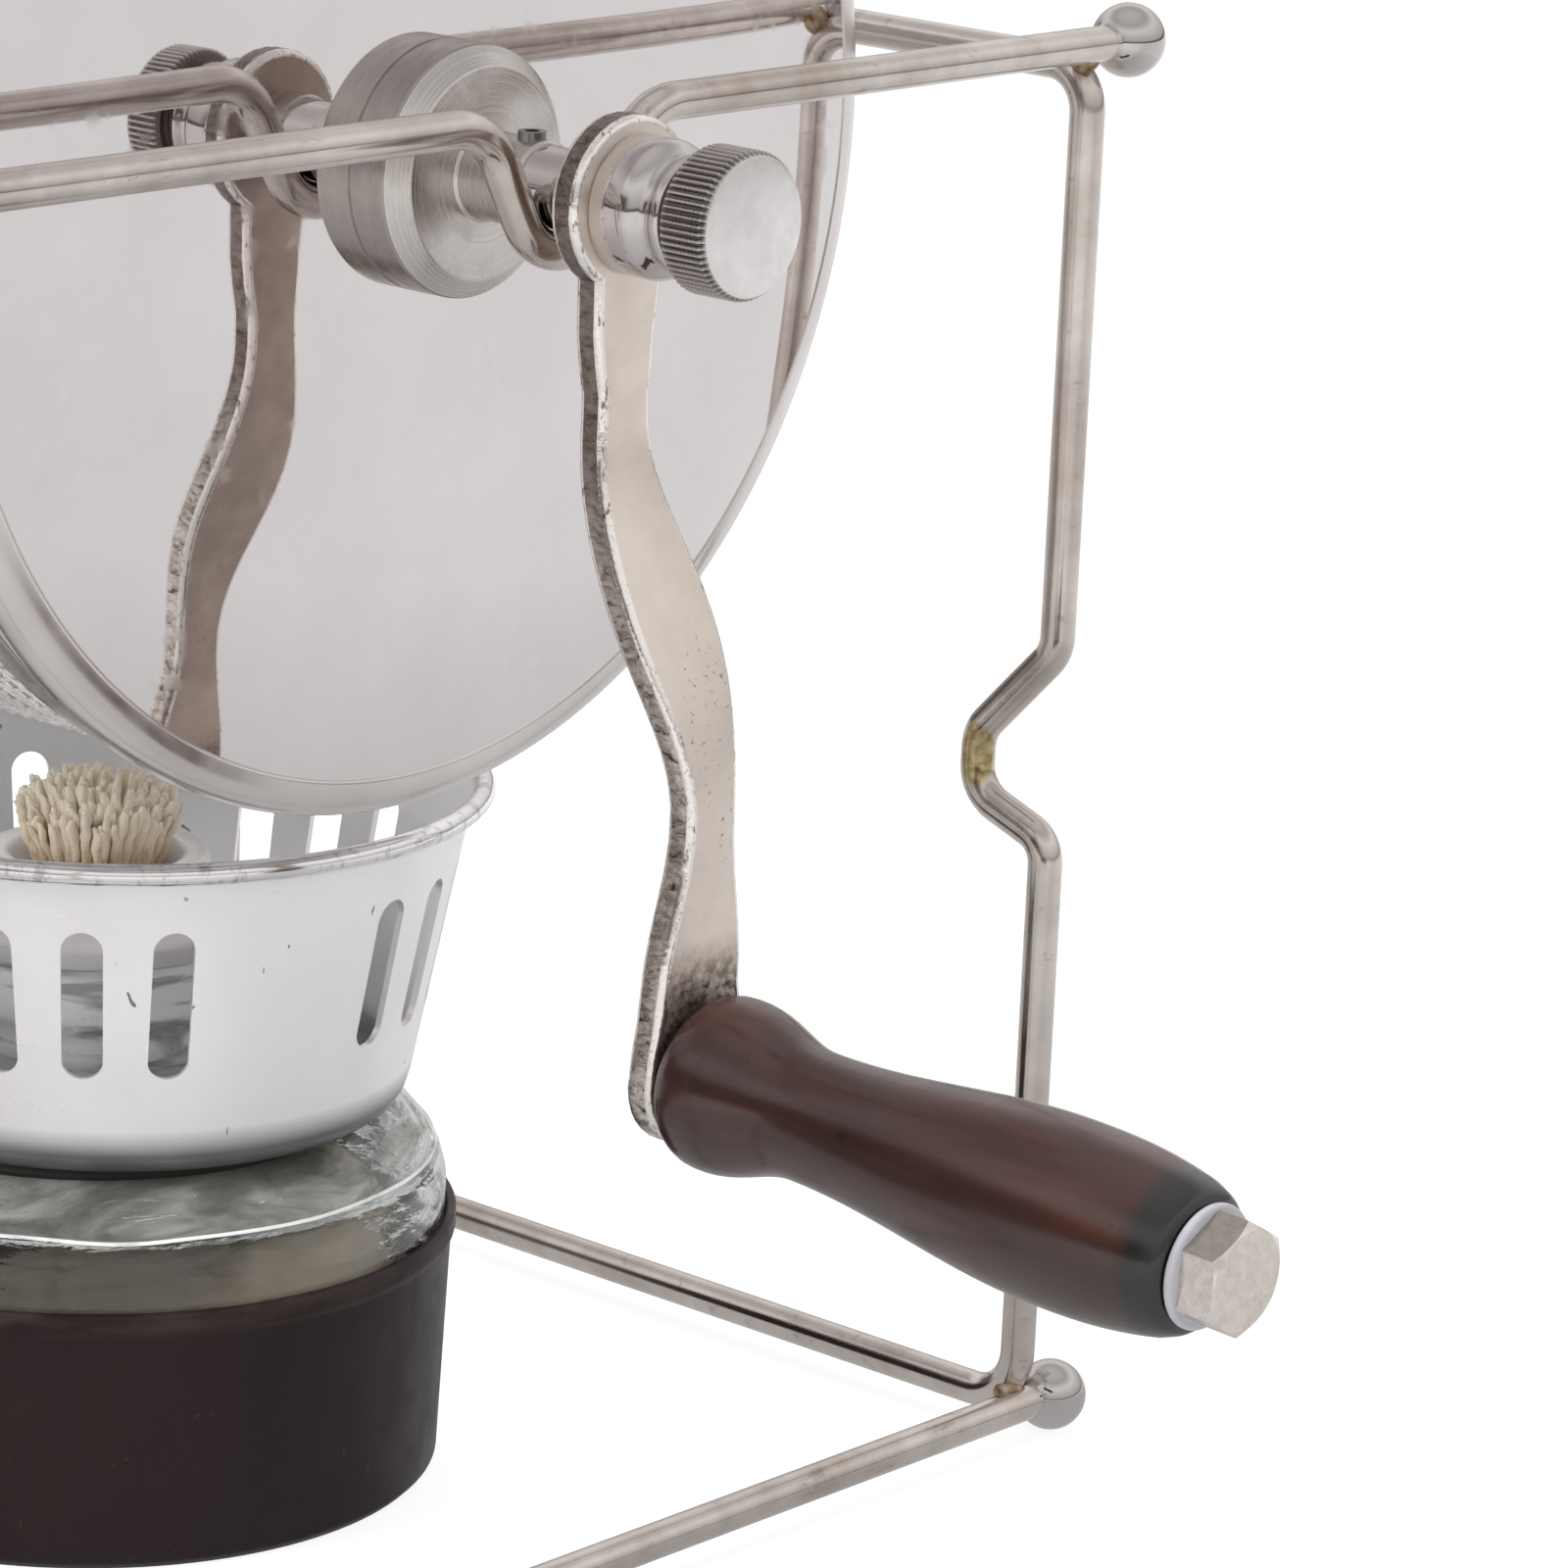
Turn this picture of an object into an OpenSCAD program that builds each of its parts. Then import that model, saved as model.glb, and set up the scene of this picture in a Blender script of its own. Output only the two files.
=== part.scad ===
// Hand cranked stovetop coffee bean roaster: a wire stand carries a mesh drum on a shaft,
// a cranked arm with a wooden grip turns it, and a spirit burner stands underneath.
// Origin: on the ground under the middle of the drum. +X along the shaft towards the
// crank, +Y across the stand, +Z up. All sizes in millimetres.

/* [Stand] */
// Diameter of the wire that the stand is bent from
wire_d = 3.8; // [3.6:0.1:3.9]
// Diameter of the balls on the ends of the cross bars
ball_d = 8; // [7.8:0.1:8]
// Half the distance between the two posts of a side loop
post_x = 63.5; // [62:0.5:65]
// Half the distance between the two side loops
loop_y = 81.7; // [78:0.5:88]
// Height of the top bars above the shaft's axis
bar_rise = 7.2; // [6.2:0.1:8]
// Height of a side loop's bottom rail
loop_low_z = 4.1; // [4.1:0.1:4.3]
// Bend radius of a side loop's top corners
loop_top_bend = 5; // [4.6:0.1:5.4]
// Bend radius of a side loop's bottom corners
loop_low_bend = 6; // [6:0.1:6.2]
// Inward depth of the joggle in each post
joggle_depth = 10.1; // [8:0.5:11]
// Height of the middle of the joggle's nose
joggle_z = 75.6; // [70:1:90]

/* [Drum] */
// Gap between the tip of the wick and the drum's wall
wick_gap = 8; // [7:0.1:9]
// Outer radius of the drum's mesh wall
wall_r = 63.1; // [61:0.1:63.4]
// Half the length of the drum, from one polished face to the other
face_x = 48; // [46:0.5:49]
// Thickness of the woven mesh
mesh_t = 0.9; // [0.7:0.1:1.2]
// Thickness of the sheet that the end discs are pressed from
sheet_t = 0.8; // [0.6:0.1:1]
// Depth of an end disc, from its face to the edge of its skirt
disc_depth = 18; // [16:0.5:20]
// Radius of the shaft
shaft_r = 4; // [3.8:0.1:4]
// Half the angle that the filling window spans round the wall
window_angle = 24; // [20:1:26]
// Half the length of the filling window along the drum
window_x = 18; // [14:0.5:19]

/* [Hubs and crank] */
// Radius of each hub at the disc
hub_r = 12.5; // [11:0.1:13]
// Length of each hub, from the disc to its flat face
hub_len = 6.4; // [6:0.1:7]
// Thickness of the crank arm's strap
arm_t = 3.3; // [3:0.1:3.6]
// Distance that the arm's S-bend steps out from the stand
arm_step = 12.3; // [10:0.1:13]
// Radius of the eye at the arm's top
eye_r = 8.5; // [8:0.1:9]
// Radius of the collar in front of the arm
ferrule_r = 6.8; // [6.4:0.1:7]
// Radius of the knurled thumb nut
nut_r = 7.2; // [6.8:0.1:7.6]
// Distance from the shaft's axis down to the grip's axis
throw = 84.2; // [80:0.1:88]
// Length of the wooden grip
grip_len = 61.8; // [56:0.1:66]
// Angle at which the grip droops
droop = 3.1; // [2:0.1:4]

/* [Burner] */
// Where the burner stands, along the shaft and across the stand
burner_at = [-4.1, 4.85];
// How far the wind shield sits off the burner's axis, in the play of its hole
shield_off = [1.6, 1.35];
// Wall thickness of the base cup at its lip
cup_wall = 1.2; // [1.1:0.1:1.6]
// Height of the base cup
cup_h = 28.4; // [27.5:0.1:29.5]
// Largest radius of the glass reservoir
glass_r = 38.2; // [37.4:0.1:38.6]
// Height of the reservoir's shoulder
shoulder_z = 39.3; // [38.8:0.1:39.8]
// Radius of the middle of the wind shield's rolled rim
shield_rim_r = 38.9; // [38:0.1:39.4]
// Height of the middle of the rolled rim above the wind shield's floor
shield_h = 34.7; // [33.5:0.1:35.2]
// Radius of the ceramic wick holder's collar
ceramic_r = 12; // [11.6:0.1:12.8]
// Height of the wick above its holder
wick_show = 10.3; // [9:0.1:11]

/* [Hidden] */
$fn = 64;

wire_r = wire_d / 2;
ball_r = ball_d / 2;

// Burner, from the ground up
glass_t = 2.2;
neck_r = 16;
neck_len = 19;
neck_top_z = shoulder_z + neck_len;
holder_h = 8.7;
ceramic_top_z = neck_top_z + holder_h;
wick_top_z = ceramic_top_z + wick_show;

// Height of the shaft's axis above the ground
axis_z = wick_top_z + wick_gap + wall_r;

axis_play = 0.05;          // shaft above the bottom of its dip
fit = 0.08;                // radial clearance of a turning fit
gap = 0.3;                 // clearance between separate moving pieces
bead_size = 1.7;           // radius of a weld bead
band_half = 0.1;           // half the width of the band at the end of a bend
band_step = 0.01;          // height of the band above the wire
band_gap = 0.04;           // gap between a run and its bend, inside the band

// Cross bars lie outside the corners of the loops
bar_out = 1;               // bars outside the middle of the posts
bar_lift = 2.5;            // top bars above the middle of the top rails
bar_x = post_x + bar_out;
top_bar_z = axis_z + bar_rise;
loop_top_z = top_bar_z - bar_lift;
base_bar_z = ball_r;
ball_reach = 5;
ball_y = loop_y + ball_reach;
bar_end_y = ball_y - ball_r / 2;
weld_inset = 0.7;          // weld beads inside the middle of the posts

// Dip in a top bar that carries the shaft
dip_r = 6.5;
dip_z = axis_z - shaft_r - wire_r - axis_play;
dip_flank = 62;
dip_shoulder_bend = 7.5;
dip_depth = top_bar_z - dip_z;
// The flank is tangent to the bottom arc and to the two shoulder bends
dip_half_w = (dip_depth - dip_r * (1 - 1 / cos(dip_flank))) / tan(dip_flank);

// Joggle in a post
joggle_half = 3.4;
joggle_fall = joggle_depth / tan(46.5) * 1.12;
joggle_return = joggle_depth * 0.366;
joggle_bend = 4.5;
joggle_low_bend = 3.5;

// Drum
disc_lip_r = wall_r + sheet_t + 1.8;
skirt_r = wall_r + sheet_t;
lip_drop = 2.4;
flat_r = disc_lip_r - 4;
wall_x = face_x - lip_drop - 1.8;
hub_face_x = face_x + hub_len;
hub_chamfer = 2;
boss_r = shaft_r + 0.4;
side_play = 0.3;
boss_end_x = bar_x - wire_r - side_play;
collar_x = bar_x + wire_r + side_play;
arm_x = collar_x + 3.9;
far_end_x = collar_x + 6;
screw_x = boss_end_x - 2.1;
screw_r = 1.4;
screw_depth = 2;
screw_stand = 1.1;
vane_h = 12;
vane_t = 1;
vane_angles = [90, 210, 330];

// Filling door and its rails
door_r = wall_r + gap;
door_t = 0.8;
door_angle = window_angle + 3;
door_x = window_x + 2.5;
door_travel = 2 * door_angle;
tab_h = 2.4;
rail_h = door_t + 2 * gap + 0.7;
rail_w = 2.4;
rail_lap = 1.6;

// Crank arm. The strap steps outwards between these two heights
bend_top_z = axis_z - 21.5;
bend_low_z = bend_top_z - 37;
arm_steps = 20;
lean_rate = tan(droop) / (2 * (bend_low_z - axis_z + throw));
grip_y = 1.5;
grip_z = axis_z - throw;
arm_end_r = 7.3;
spot_r = 6.9;
// Height below the shaft's axis, and the left and right edges of the strap there
arm_edges = [[12.5, -4.4, 3.8], [19.5, -3.3, 3.4], [39.5, -4.7, 6.8],
             [58.5, -2.0, 4.6], [75.5, -5.0, 6.5], [84.2, -5.8, 8.8]];

// Ferrule and thumb nut
ferrule_x = arm_x + arm_t;
ferrule_len = 9.1;
nut_x = ferrule_x + ferrule_len + 0.1;
nut_len = 6;
stud_r = 2.5;
stud_len = 4.6;

// Grip
bolt_r = 3;
grip_start = gap;
grip_end = grip_start + grip_len;
washer_t = 1.1;
washer_r = 6.1;
head_t = 4;
head_af = 10;
crest_s = 4;
crest_r = 8.8;
waist_s = 14.5;
waist_r = 6.5;
belly_s = 46;
belly_r = 9.1;
tip_r = 7.2;

// Burner
cup_r = glass_r + cup_wall;
cup_lip_h = 2.6;
cup_lip_step = 0.5;
cup_taper = 1.4;           // foot inside the lip
cup_foot_edge = 0.8;
cup_floor = 2;
glass_play = 0.05;
glass_foot_r = glass_r - 1.2;
// The shoulder's curve, as distances in from the widest part and down from its top
shoulder_curve = [[0, 8], [0.5, 6], [1.4, 3.5], [3, 1.6], [5.2, 0.3], [7, 0]];
seal_t = 1.2;
shield_t = 0.7;
shield_floor_z = shoulder_z + seal_t;
shield_floor_r = 30.9;
shield_bend = 4;
shield_bore_r = neck_r + 2.4;
shield_rim_z = shield_floor_z + shield_h;
bead_r = 1.15;
slot_w = 4.3;
slot_len = 16.5;
slot_low_z = shield_floor_z + 11.4;
slot_top_z = slot_low_z + slot_len;
slot_groups = 5;
slots_in_group = 3;
slot_pitch = 14.9;
first_group = -48.6;
wick_r = 6;
wick_flare_r = 10;
holder_plug = 8;           // length of the holder inside the neck
holder_flange = 2.6;
holder_lap = 1;            // flange beyond the neck

/* Helpers */

function unit(v) = v / norm(v);
function ease(a, b, t) = a + (b - a) * (1 - cos(180 * t)) / 2;
function turn(a, b, c) = let (u = b - a, v = c - b)
    atan2(u[0] * v[1] - u[1] * v[0], u[0] * v[0] + u[1] * v[1]);
function lead(a, b, c, r) = r * tan(abs(turn(a, b, c)) / 2);

// A straight length of rod in the XY plane
module rod(a, b, r) {
    translate([a[0], a[1], 0])
        rotate([0, 90, atan2(b[1] - a[1], b[0] - a[0])])
            cylinder(h = norm(b - a), r = r, $fn = 32);
}

// A straight run of wire, a hair short of a to b, whose ends lie in the bands of its bends
module wire_run(a, b, short_a = true, short_b = true) {
    along = unit(b - a);
    rod(a + along * (short_a ? band_gap : 0), b - along * (short_b ? band_gap : 0), wire_r);
}

// Hair-fine band round the place where a run meets a bend, which makes them one solid
module wire_band(p, along) {
    rod(p - along * band_half, p + along * band_half, wire_r + band_step);
}

// One bend of wire at corner b, between the runs a-b and b-c
module wire_bend(a, b, c, r) {
    angle = turn(a, b, c);
    start = b - unit(b - a) * lead(a, b, c, r);
    centre = b + unit(unit(c - b) - unit(b - a)) * r / cos(angle / 2);
    from = atan2(start[1] - centre[1], start[0] - centre[0]);
    trim = band_gap / r * 180 / PI;
    translate([centre[0], centre[1], 0])
        rotate([0, 0, (angle > 0 ? from : from + angle) + trim])
            rotate_extrude(angle = abs(angle) - 2 * trim)
                translate([r, 0]) circle(r = wire_r, $fn = 32);
    wire_band(start, unit(b - a));
    wire_band(b + unit(c - b) * lead(a, b, c, r), unit(c - b));
}

// Wire bent along an open path, with a bend radius at each inner corner
module open_wire(path, bends) {
    last = len(path) - 1;
    for (i = [1 : last - 1])
        wire_bend(path[i - 1], path[i], path[i + 1], bends[i]);
    for (i = [0 : last - 1]) {
        along = unit(path[i + 1] - path[i]);
        cut_a = i == 0 ? 0 : lead(path[i - 1], path[i], path[i + 1], bends[i]);
        cut_b = i == last - 1 ? 0
              : lead(path[i], path[i + 1], path[i + 2], bends[i + 1]);
        wire_run(path[i] + along * cut_a, path[i + 1] - along * cut_b, i > 0, i < last - 1);
    }
}

// Wire bent into a closed loop, with a bend radius at each corner
module closed_wire(path, bends) {
    n = len(path);
    for (i = [0 : n - 1]) {
        before = path[(i + n - 1) % n];
        after = path[(i + 1) % n];
        beyond = path[(i + 2) % n];
        along = unit(after - path[i]);
        wire_bend(before, path[i], after, bends[i]);
        wire_run(path[i] + along * lead(before, path[i], after, bends[i]),
                 after - along * lead(path[i], after, beyond, bends[(i + 1) % n]));
    }
}

// Turns a child drawn along +Z so that it runs along +X from x, on the shaft's axis
module on_shaft(x) {
    translate([x, 0, axis_z]) rotate([0, 90, 0]) children();
}

// Turns a child drawn along +Z so that it runs along the grip's drooping axis
module on_grip(s) {
    translate([arm_front(grip_z), grip_y, grip_z]) rotate([0, 90 + droop, 0])
        translate([0, 0, s]) children();
}

// Repeats a child at the far end of the shaft
module far_side() {
    mirror([1, 0, 0]) children();
}

/* Stand */

post_path = [[post_x, joggle_z - joggle_half - joggle_return],
             [post_x - joggle_depth, joggle_z - joggle_half],
             [post_x - joggle_depth, joggle_z + joggle_half],
             [post_x, joggle_z + joggle_half + joggle_fall]];
post_bends = [joggle_low_bend, joggle_bend, joggle_bend, joggle_bend];
loop_path = concat([[post_x, loop_low_z]], post_path, [[post_x, loop_top_z]],
                   [[-post_x, loop_top_z]],
                   [for (i = [3 : -1 : 0]) [-post_path[i][0], post_path[i][1]]],
                   [[-post_x, loop_low_z]]);
loop_bends = concat([loop_low_bend], post_bends, [loop_top_bend, loop_top_bend],
                    [for (i = [3 : -1 : 0]) post_bends[i]], [loop_low_bend]);

module loop_wire(y) {
    translate([0, y, 0]) rotate([90, 0, 0]) closed_wire(loop_path, loop_bends);
}

module base_bar(x) {
    translate([x, -bar_end_y, base_bar_z]) rotate([-90, 0, 0])
        cylinder(h = 2 * bar_end_y, r = wire_r);
}

// The base bars are pressed into the loops' corners where they are welded
module side_loop(y) {
    difference() {
        loop_wire(y);
        for (x = [-bar_x, bar_x]) base_bar(x);
    }
}

top_path = [[-bar_end_y, top_bar_z], [-dip_half_w, top_bar_z],
            [0, top_bar_z - dip_half_w * tan(dip_flank)],
            [dip_half_w, top_bar_z], [bar_end_y, top_bar_z]];
top_bends = [0, dip_shoulder_bend, dip_r, dip_shoulder_bend, 0];

module top_bar(x) {
    translate([x, 0, 0]) rotate([90, 0, 90]) open_wire(top_path, top_bends);
}

module side_loop_left() { color("silver") side_loop(-loop_y); }
module side_loop_right() { color("silver") side_loop(loop_y); }
module top_bar_crank() { color("silver") top_bar(bar_x); }
module top_bar_far() { color("silver") top_bar(-bar_x); }
module base_bar_crank() { color("silver") base_bar(bar_x); }
module base_bar_far() { color("silver") base_bar(-bar_x); }

// Each ball is drilled for the end of its bar
module ball_ends() {
    color("gainsboro")
    for (x = [-bar_x, bar_x], s = [-1, 1], z = [base_bar_z, top_bar_z])
        translate([x, s * ball_y, z])
            difference() {
                sphere(r = ball_r);
                rotate([s * 90, 0, 0]) cylinder(h = 2 * ball_r, r = wire_r);
                rotate([-s * 90, 0, 0]) translate([0, 0, -(ball_y - bar_end_y)])
                    cylinder(h = 0.01, r = wire_r);
            }
}

// Filler between a cross bar and one corner of a loop; index is the corner's place in its path
module weld_bead(y, index, bar_z) {
    corner = loop_path[index];
    bend = loop_bends[index];
    centre = [corner[0] - bend, corner[1] + (corner[1] > axis_z / 2 ? -bend : bend)];
    seam = [bar_x, bar_z] - unit([bar_x, bar_z] - centre) * wire_r;
    difference() {
        translate([seam[0], y - sign(y) * weld_inset, seam[1]]) sphere(r = bead_size, $fn = 32);
        translate([bar_x, y - 2 * bead_size, bar_z]) rotate([-90, 0, 0])
            cylinder(h = 4 * bead_size, r = wire_r, $fn = 32);
        translate([0, y, 0]) rotate([90, 0, 0])
            wire_bend(loop_path[(index + 11) % 12], corner, loop_path[index + 1], bend);
    }
}

module weld_beads() {
    color("peru")
    for (s = [0, 1], y = [-loop_y, loop_y]) mirror([s, 0, 0]) {
        weld_bead(y, 0, base_bar_z);
        weld_bead(y, 5, top_bar_z);
    }
}

/* Drum */

// A window or a door: a part of a ring, round the shaft's axis, centred on straight up
module ring_part(r0, r1, x0, x1, a0, a1) {
    translate([x0, 0, axis_z]) rotate([90, 0, 90])
        rotate([0, 0, 90 + a0])
            rotate_extrude(angle = a1 - a0, $fn = 128)
                translate([r0, 0]) square([r1 - r0, x1 - x0]);
}

module drum_mesh() {
    color("lightgray")
    difference() {
        on_shaft(-wall_x) cylinder(h = 2 * wall_x, r = wall_r, $fn = 128);
        on_shaft(-wall_x - 1) cylinder(h = 2 * wall_x + 2, r = wall_r - mesh_t, $fn = 128);
        ring_part(wall_r - 3, wall_r + 3, -window_x, window_x, -window_angle, window_angle);
    }
}

// Pressed disc: flat face, rolled lip and a skirt that grips the mesh
module end_disc() {
    color("gainsboro")
    on_shaft(0)
        rotate_extrude($fn = 128)
            polygon([[shaft_r, face_x], [flat_r, face_x],
                     [flat_r + 1.6, face_x - 0.25], [flat_r + 3, face_x - 1],
                     [disc_lip_r - 0.25, face_x - 1.9], [disc_lip_r, face_x - lip_drop],
                     [disc_lip_r - 0.3, face_x - lip_drop - 0.9],
                     [skirt_r + 0.4, face_x - lip_drop - 1.5],
                     [skirt_r, face_x - lip_drop - 2.2],
                     [skirt_r, face_x - disc_depth], [wall_r, face_x - disc_depth],
                     [wall_r, face_x - lip_drop - 1.8], [wall_r - 0.6, face_x - lip_drop],
                     [flat_r - 0.4, face_x - sheet_t], [shaft_r, face_x - sheet_t]]);
}

module crank_end_disc() { end_disc(); }
module far_end_disc() { far_side() end_disc(); }

// Shaft, with a flat for each set screw and a threaded stud for the thumb nut
module shaft() {
    color("silver")
    difference() {
        union() {
            on_shaft(-far_end_x) cylinder(h = far_end_x + nut_x - 0.1, r = shaft_r);
            on_shaft(nut_x - 0.2) cylinder(h = stud_len + 0.2, r = stud_r);
        }
        for (x = [-screw_x, screw_x])
            translate([x, 0, axis_z + shaft_r - screw_depth + 0.4]) cylinder(h = 4, r = screw_r);
    }
}

module hub() {
    color("silver")
    difference() {
        on_shaft(0)
            rotate_extrude($fn = 96)
                polygon([[shaft_r, face_x], [hub_r, face_x],
                         [hub_r, hub_face_x - hub_chamfer],
                         [hub_r - hub_chamfer, hub_face_x], [boss_r, hub_face_x],
                         [boss_r, boss_end_x], [shaft_r, boss_end_x]]);
        translate([screw_x, 0, axis_z + shaft_r - 1]) cylinder(h = 4, r = screw_r);
    }
}

module crank_hub() { hub(); }
module far_hub() { far_side() hub(); }

// Grub screws with a hexagon socket
module hub_set_screws() {
    color("dimgray")
    for (x = [-screw_x, screw_x])
        translate([x, 0, axis_z + shaft_r - screw_depth + 0.4])
            difference() {
                cylinder(h = screw_depth + screw_stand - 0.4, r = screw_r, $fn = 32);
                translate([0, 0, screw_depth + screw_stand - 1.4])
                    cylinder(h = 2, r = 0.8, $fn = 6);
            }
}

// Ring that keeps the shaft from sliding along its dip
module stop_ring(x0, x1) {
    on_shaft(x0)
        difference() {
            cylinder(h = x1 - x0, r = boss_r);
            translate([0, 0, -1]) cylinder(h = x1 - x0 + 2, r = shaft_r);
        }
}

module shaft_collar() { color("silver") stop_ring(collar_x, arm_x); }
module far_collar() { color("silver") stop_ring(-far_end_x, -collar_x); }

// Blades inside the drum that turn the beans over
module stirring_vanes() {
    color("lightgray")
    for (a = vane_angles)
        on_shaft(0) rotate([0, 0, a])
            translate([-wall_r + mesh_t + 0.05, -vane_t / 2, -wall_x + 4])
                cube([vane_h, vane_t, 2 * wall_x - 8]);
}

// Two bent rails, spot welded to the wall, in which the filling door slides round the drum
module door_rails() {
    color("silver")
    for (s = [0, 1]) mirror([s, 0, 0]) {
        ring_part(wall_r, wall_r + rail_h, door_x + gap, door_x + gap + rail_w,
                  -door_angle - 2, door_angle + door_travel + 2);
        ring_part(wall_r + rail_h - 0.7, wall_r + rail_h, door_x - rail_lap, door_x + gap,
                  -door_angle - 2, door_angle + door_travel + 2);
    }
}

// Curved door with a folded finger tab on its edge
module filling_door() {
    color("gainsboro")
    union() {
        ring_part(door_r, door_r + door_t, -door_x, door_x, -door_angle, door_angle);
        ring_part(door_r, door_r + tab_h, -window_x / 2, window_x / 2,
                  -door_angle, -door_angle + 1);
    }
}

/* Crank */

// Back face of the strap at height z: a smooth step outwards, then a slight lean back
function arm_back(z) =
    z >= bend_top_z ? arm_x
    : z >= bend_low_z ? ease(arm_x, arm_x + arm_step,
                             (bend_top_z - z) / (bend_top_z - bend_low_z))
    : arm_x + arm_step - lean_rate * pow(bend_low_z - z, 2);
function arm_slope(z) =
    z >= bend_top_z || z <= bend_low_z ? 0
    : arm_step * 90 / (bend_top_z - bend_low_z) * PI / 180
      * sin(180 * (bend_top_z - z) / (bend_top_z - bend_low_z));
function arm_front(z) = arm_back(z) + arm_t * sqrt(1 + pow(arm_slope(z), 2));
function edge_at(d, side, i = 0) =
    i >= len(arm_edges) - 2 || d < arm_edges[i + 1][0]
    ? ease(arm_edges[i][side], arm_edges[i + 1][side],
           (d - arm_edges[i][0]) / (arm_edges[i + 1][0] - arm_edges[i][0]))
    : edge_at(d, side, i + 1);

strap_zs = concat([axis_z + eye_r + 1],
                  [for (i = [0 : arm_steps]) bend_top_z - i / arm_steps * (bend_top_z - bend_low_z)],
                  [for (i = [1 : 8]) bend_low_z - i / 8 * (bend_low_z - grip_z + arm_end_r + 1)]);
edge_ds = [for (i = [0 : 32]) arm_edges[0][0] + i / 32 * (throw - arm_edges[0][0])];

// Cast strap: the side profile of its S-bend, cut to its front outline
module crank_arm() {
    color("darkgray")
    difference() {
        intersection() {
            translate([0, 15, 0]) rotate([90, 0, 0]) linear_extrude(30)
                polygon(concat([for (z = strap_zs) [arm_back(z), z]],
                               [for (i = [len(strap_zs) - 1 : -1 : 0])
                                [arm_front(strap_zs[i]), strap_zs[i]]]));
            translate([arm_x - 5, 0, 0]) rotate([90, 0, 90]) linear_extrude(30)
                union() {
                    translate([0, axis_z]) circle(r = eye_r);
                    translate([0, axis_z - 10]) square([9, 12], center = true);
                    translate([grip_y, grip_z]) circle(r = arm_end_r);
                    polygon(concat([for (d = edge_ds) [edge_at(d, 1), axis_z - d]],
                                   [for (i = [32 : -1 : 0])
                                    [edge_at(edge_ds[i], 2), axis_z - edge_ds[i]]]));
                }
        }
        on_shaft(arm_x - 1) cylinder(h = arm_t + 2, r = shaft_r);
        on_grip(-10) cylinder(h = 12, r = bolt_r);
        on_grip(0) cylinder(h = 5, r = spot_r + 4);
    }
}

// Turned collar in front of the arm
module arm_ferrule() {
    color("gainsboro")
    on_shaft(ferrule_x)
        rotate_extrude()
            polygon([[shaft_r, 0], [ferrule_r, 0], [ferrule_r, 4.1],
                     [ferrule_r - 0.3, 5], [ferrule_r - 0.9, 5.7], [5.5, 6.1],
                     [5.5, 6.8], [5.9, 7.1], [5.9, ferrule_len], [shaft_r, ferrule_len]]);
}

// Blind nut on the shaft's stud
module thumb_nut() {
    color("silver")
    on_shaft(nut_x)
        rotate_extrude()
            polygon([[stud_r + fit, 0], [nut_r - 0.4, 0], [nut_r, 0.4],
                     [nut_r, nut_len - 0.5], [nut_r - 0.5, nut_len], [0, nut_len],
                     [0, stud_len + 0.3], [stud_r + fit, stud_len + 0.3]]);
}

// Turned grip: rounded crest at the arm, waist, long belly and a tapering end
function grip_radius(s) =
    s < crest_s ? crest_r - 1.9 * pow((crest_s - s) / crest_s, 3)
    : s < waist_s ? ease(crest_r, waist_r, (s - crest_s) / (waist_s - crest_s))
    : s < belly_s ? ease(waist_r, belly_r, (s - waist_s) / (belly_s - waist_s))
    : belly_r - (belly_r - tip_r) * pow((s - belly_s) / (grip_len - belly_s), 2.4);

module wooden_grip() {
    color("saddlebrown")
    on_grip(grip_start)
        rotate_extrude()
            polygon(concat([[bolt_r + fit, 0]],
                           [for (i = [0 : 4]) [grip_radius(i * 0.8), i * 0.8]],
                           [for (i = [3 : 36]) let (s = i / 36 * grip_len)
                            if (s > 3.3) [grip_radius(s), s]],
                           [[bolt_r + fit, grip_len]]));
}

module grip_washer() {
    color("white")
    on_grip(grip_end + gap / 2)
        difference() {
            cylinder(h = washer_t, r = washer_r);
            translate([0, 0, -1]) cylinder(h = washer_t + 2, r = bolt_r);
        }
}

// Hexagon head bolt that carries the grip and screws into the arm
module grip_bolt() {
    color("silver")
    union() {
        on_grip(-arm_t + 0.2)
            cylinder(h = arm_t - 0.2 + grip_end + gap / 2 + washer_t + 0.1, r = bolt_r);
        on_grip(grip_end + gap / 2 + washer_t)
            intersection() {
                cylinder(h = head_t, r = head_af / 2 / cos(30), $fn = 6);
                translate([0, 0, -0.6]) cylinder(h = head_t + 0.6, r1 = head_af / 2 + 1.6,
                                                 r2 = head_af / 2 - 0.1, $fn = 48);
            }
    }
}

/* Burner */

module on_burner() {
    translate([burner_at[0], burner_at[1], 0]) children();
}

module base_cup() {
    color("#3a2c28")
    on_burner()
        rotate_extrude($fn = 96)
            polygon([[0, 0], [cup_r - cup_taper - cup_foot_edge, 0],
                     [cup_r - cup_taper, cup_foot_edge],
                     [cup_r - cup_lip_step, cup_h - cup_lip_h], [cup_r, cup_h - cup_lip_h + cup_lip_step],
                     [cup_r, cup_h], [glass_r + glass_play, cup_h],
                     [glass_foot_r + glass_play, cup_floor], [0, cup_floor]]);
}

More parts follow.
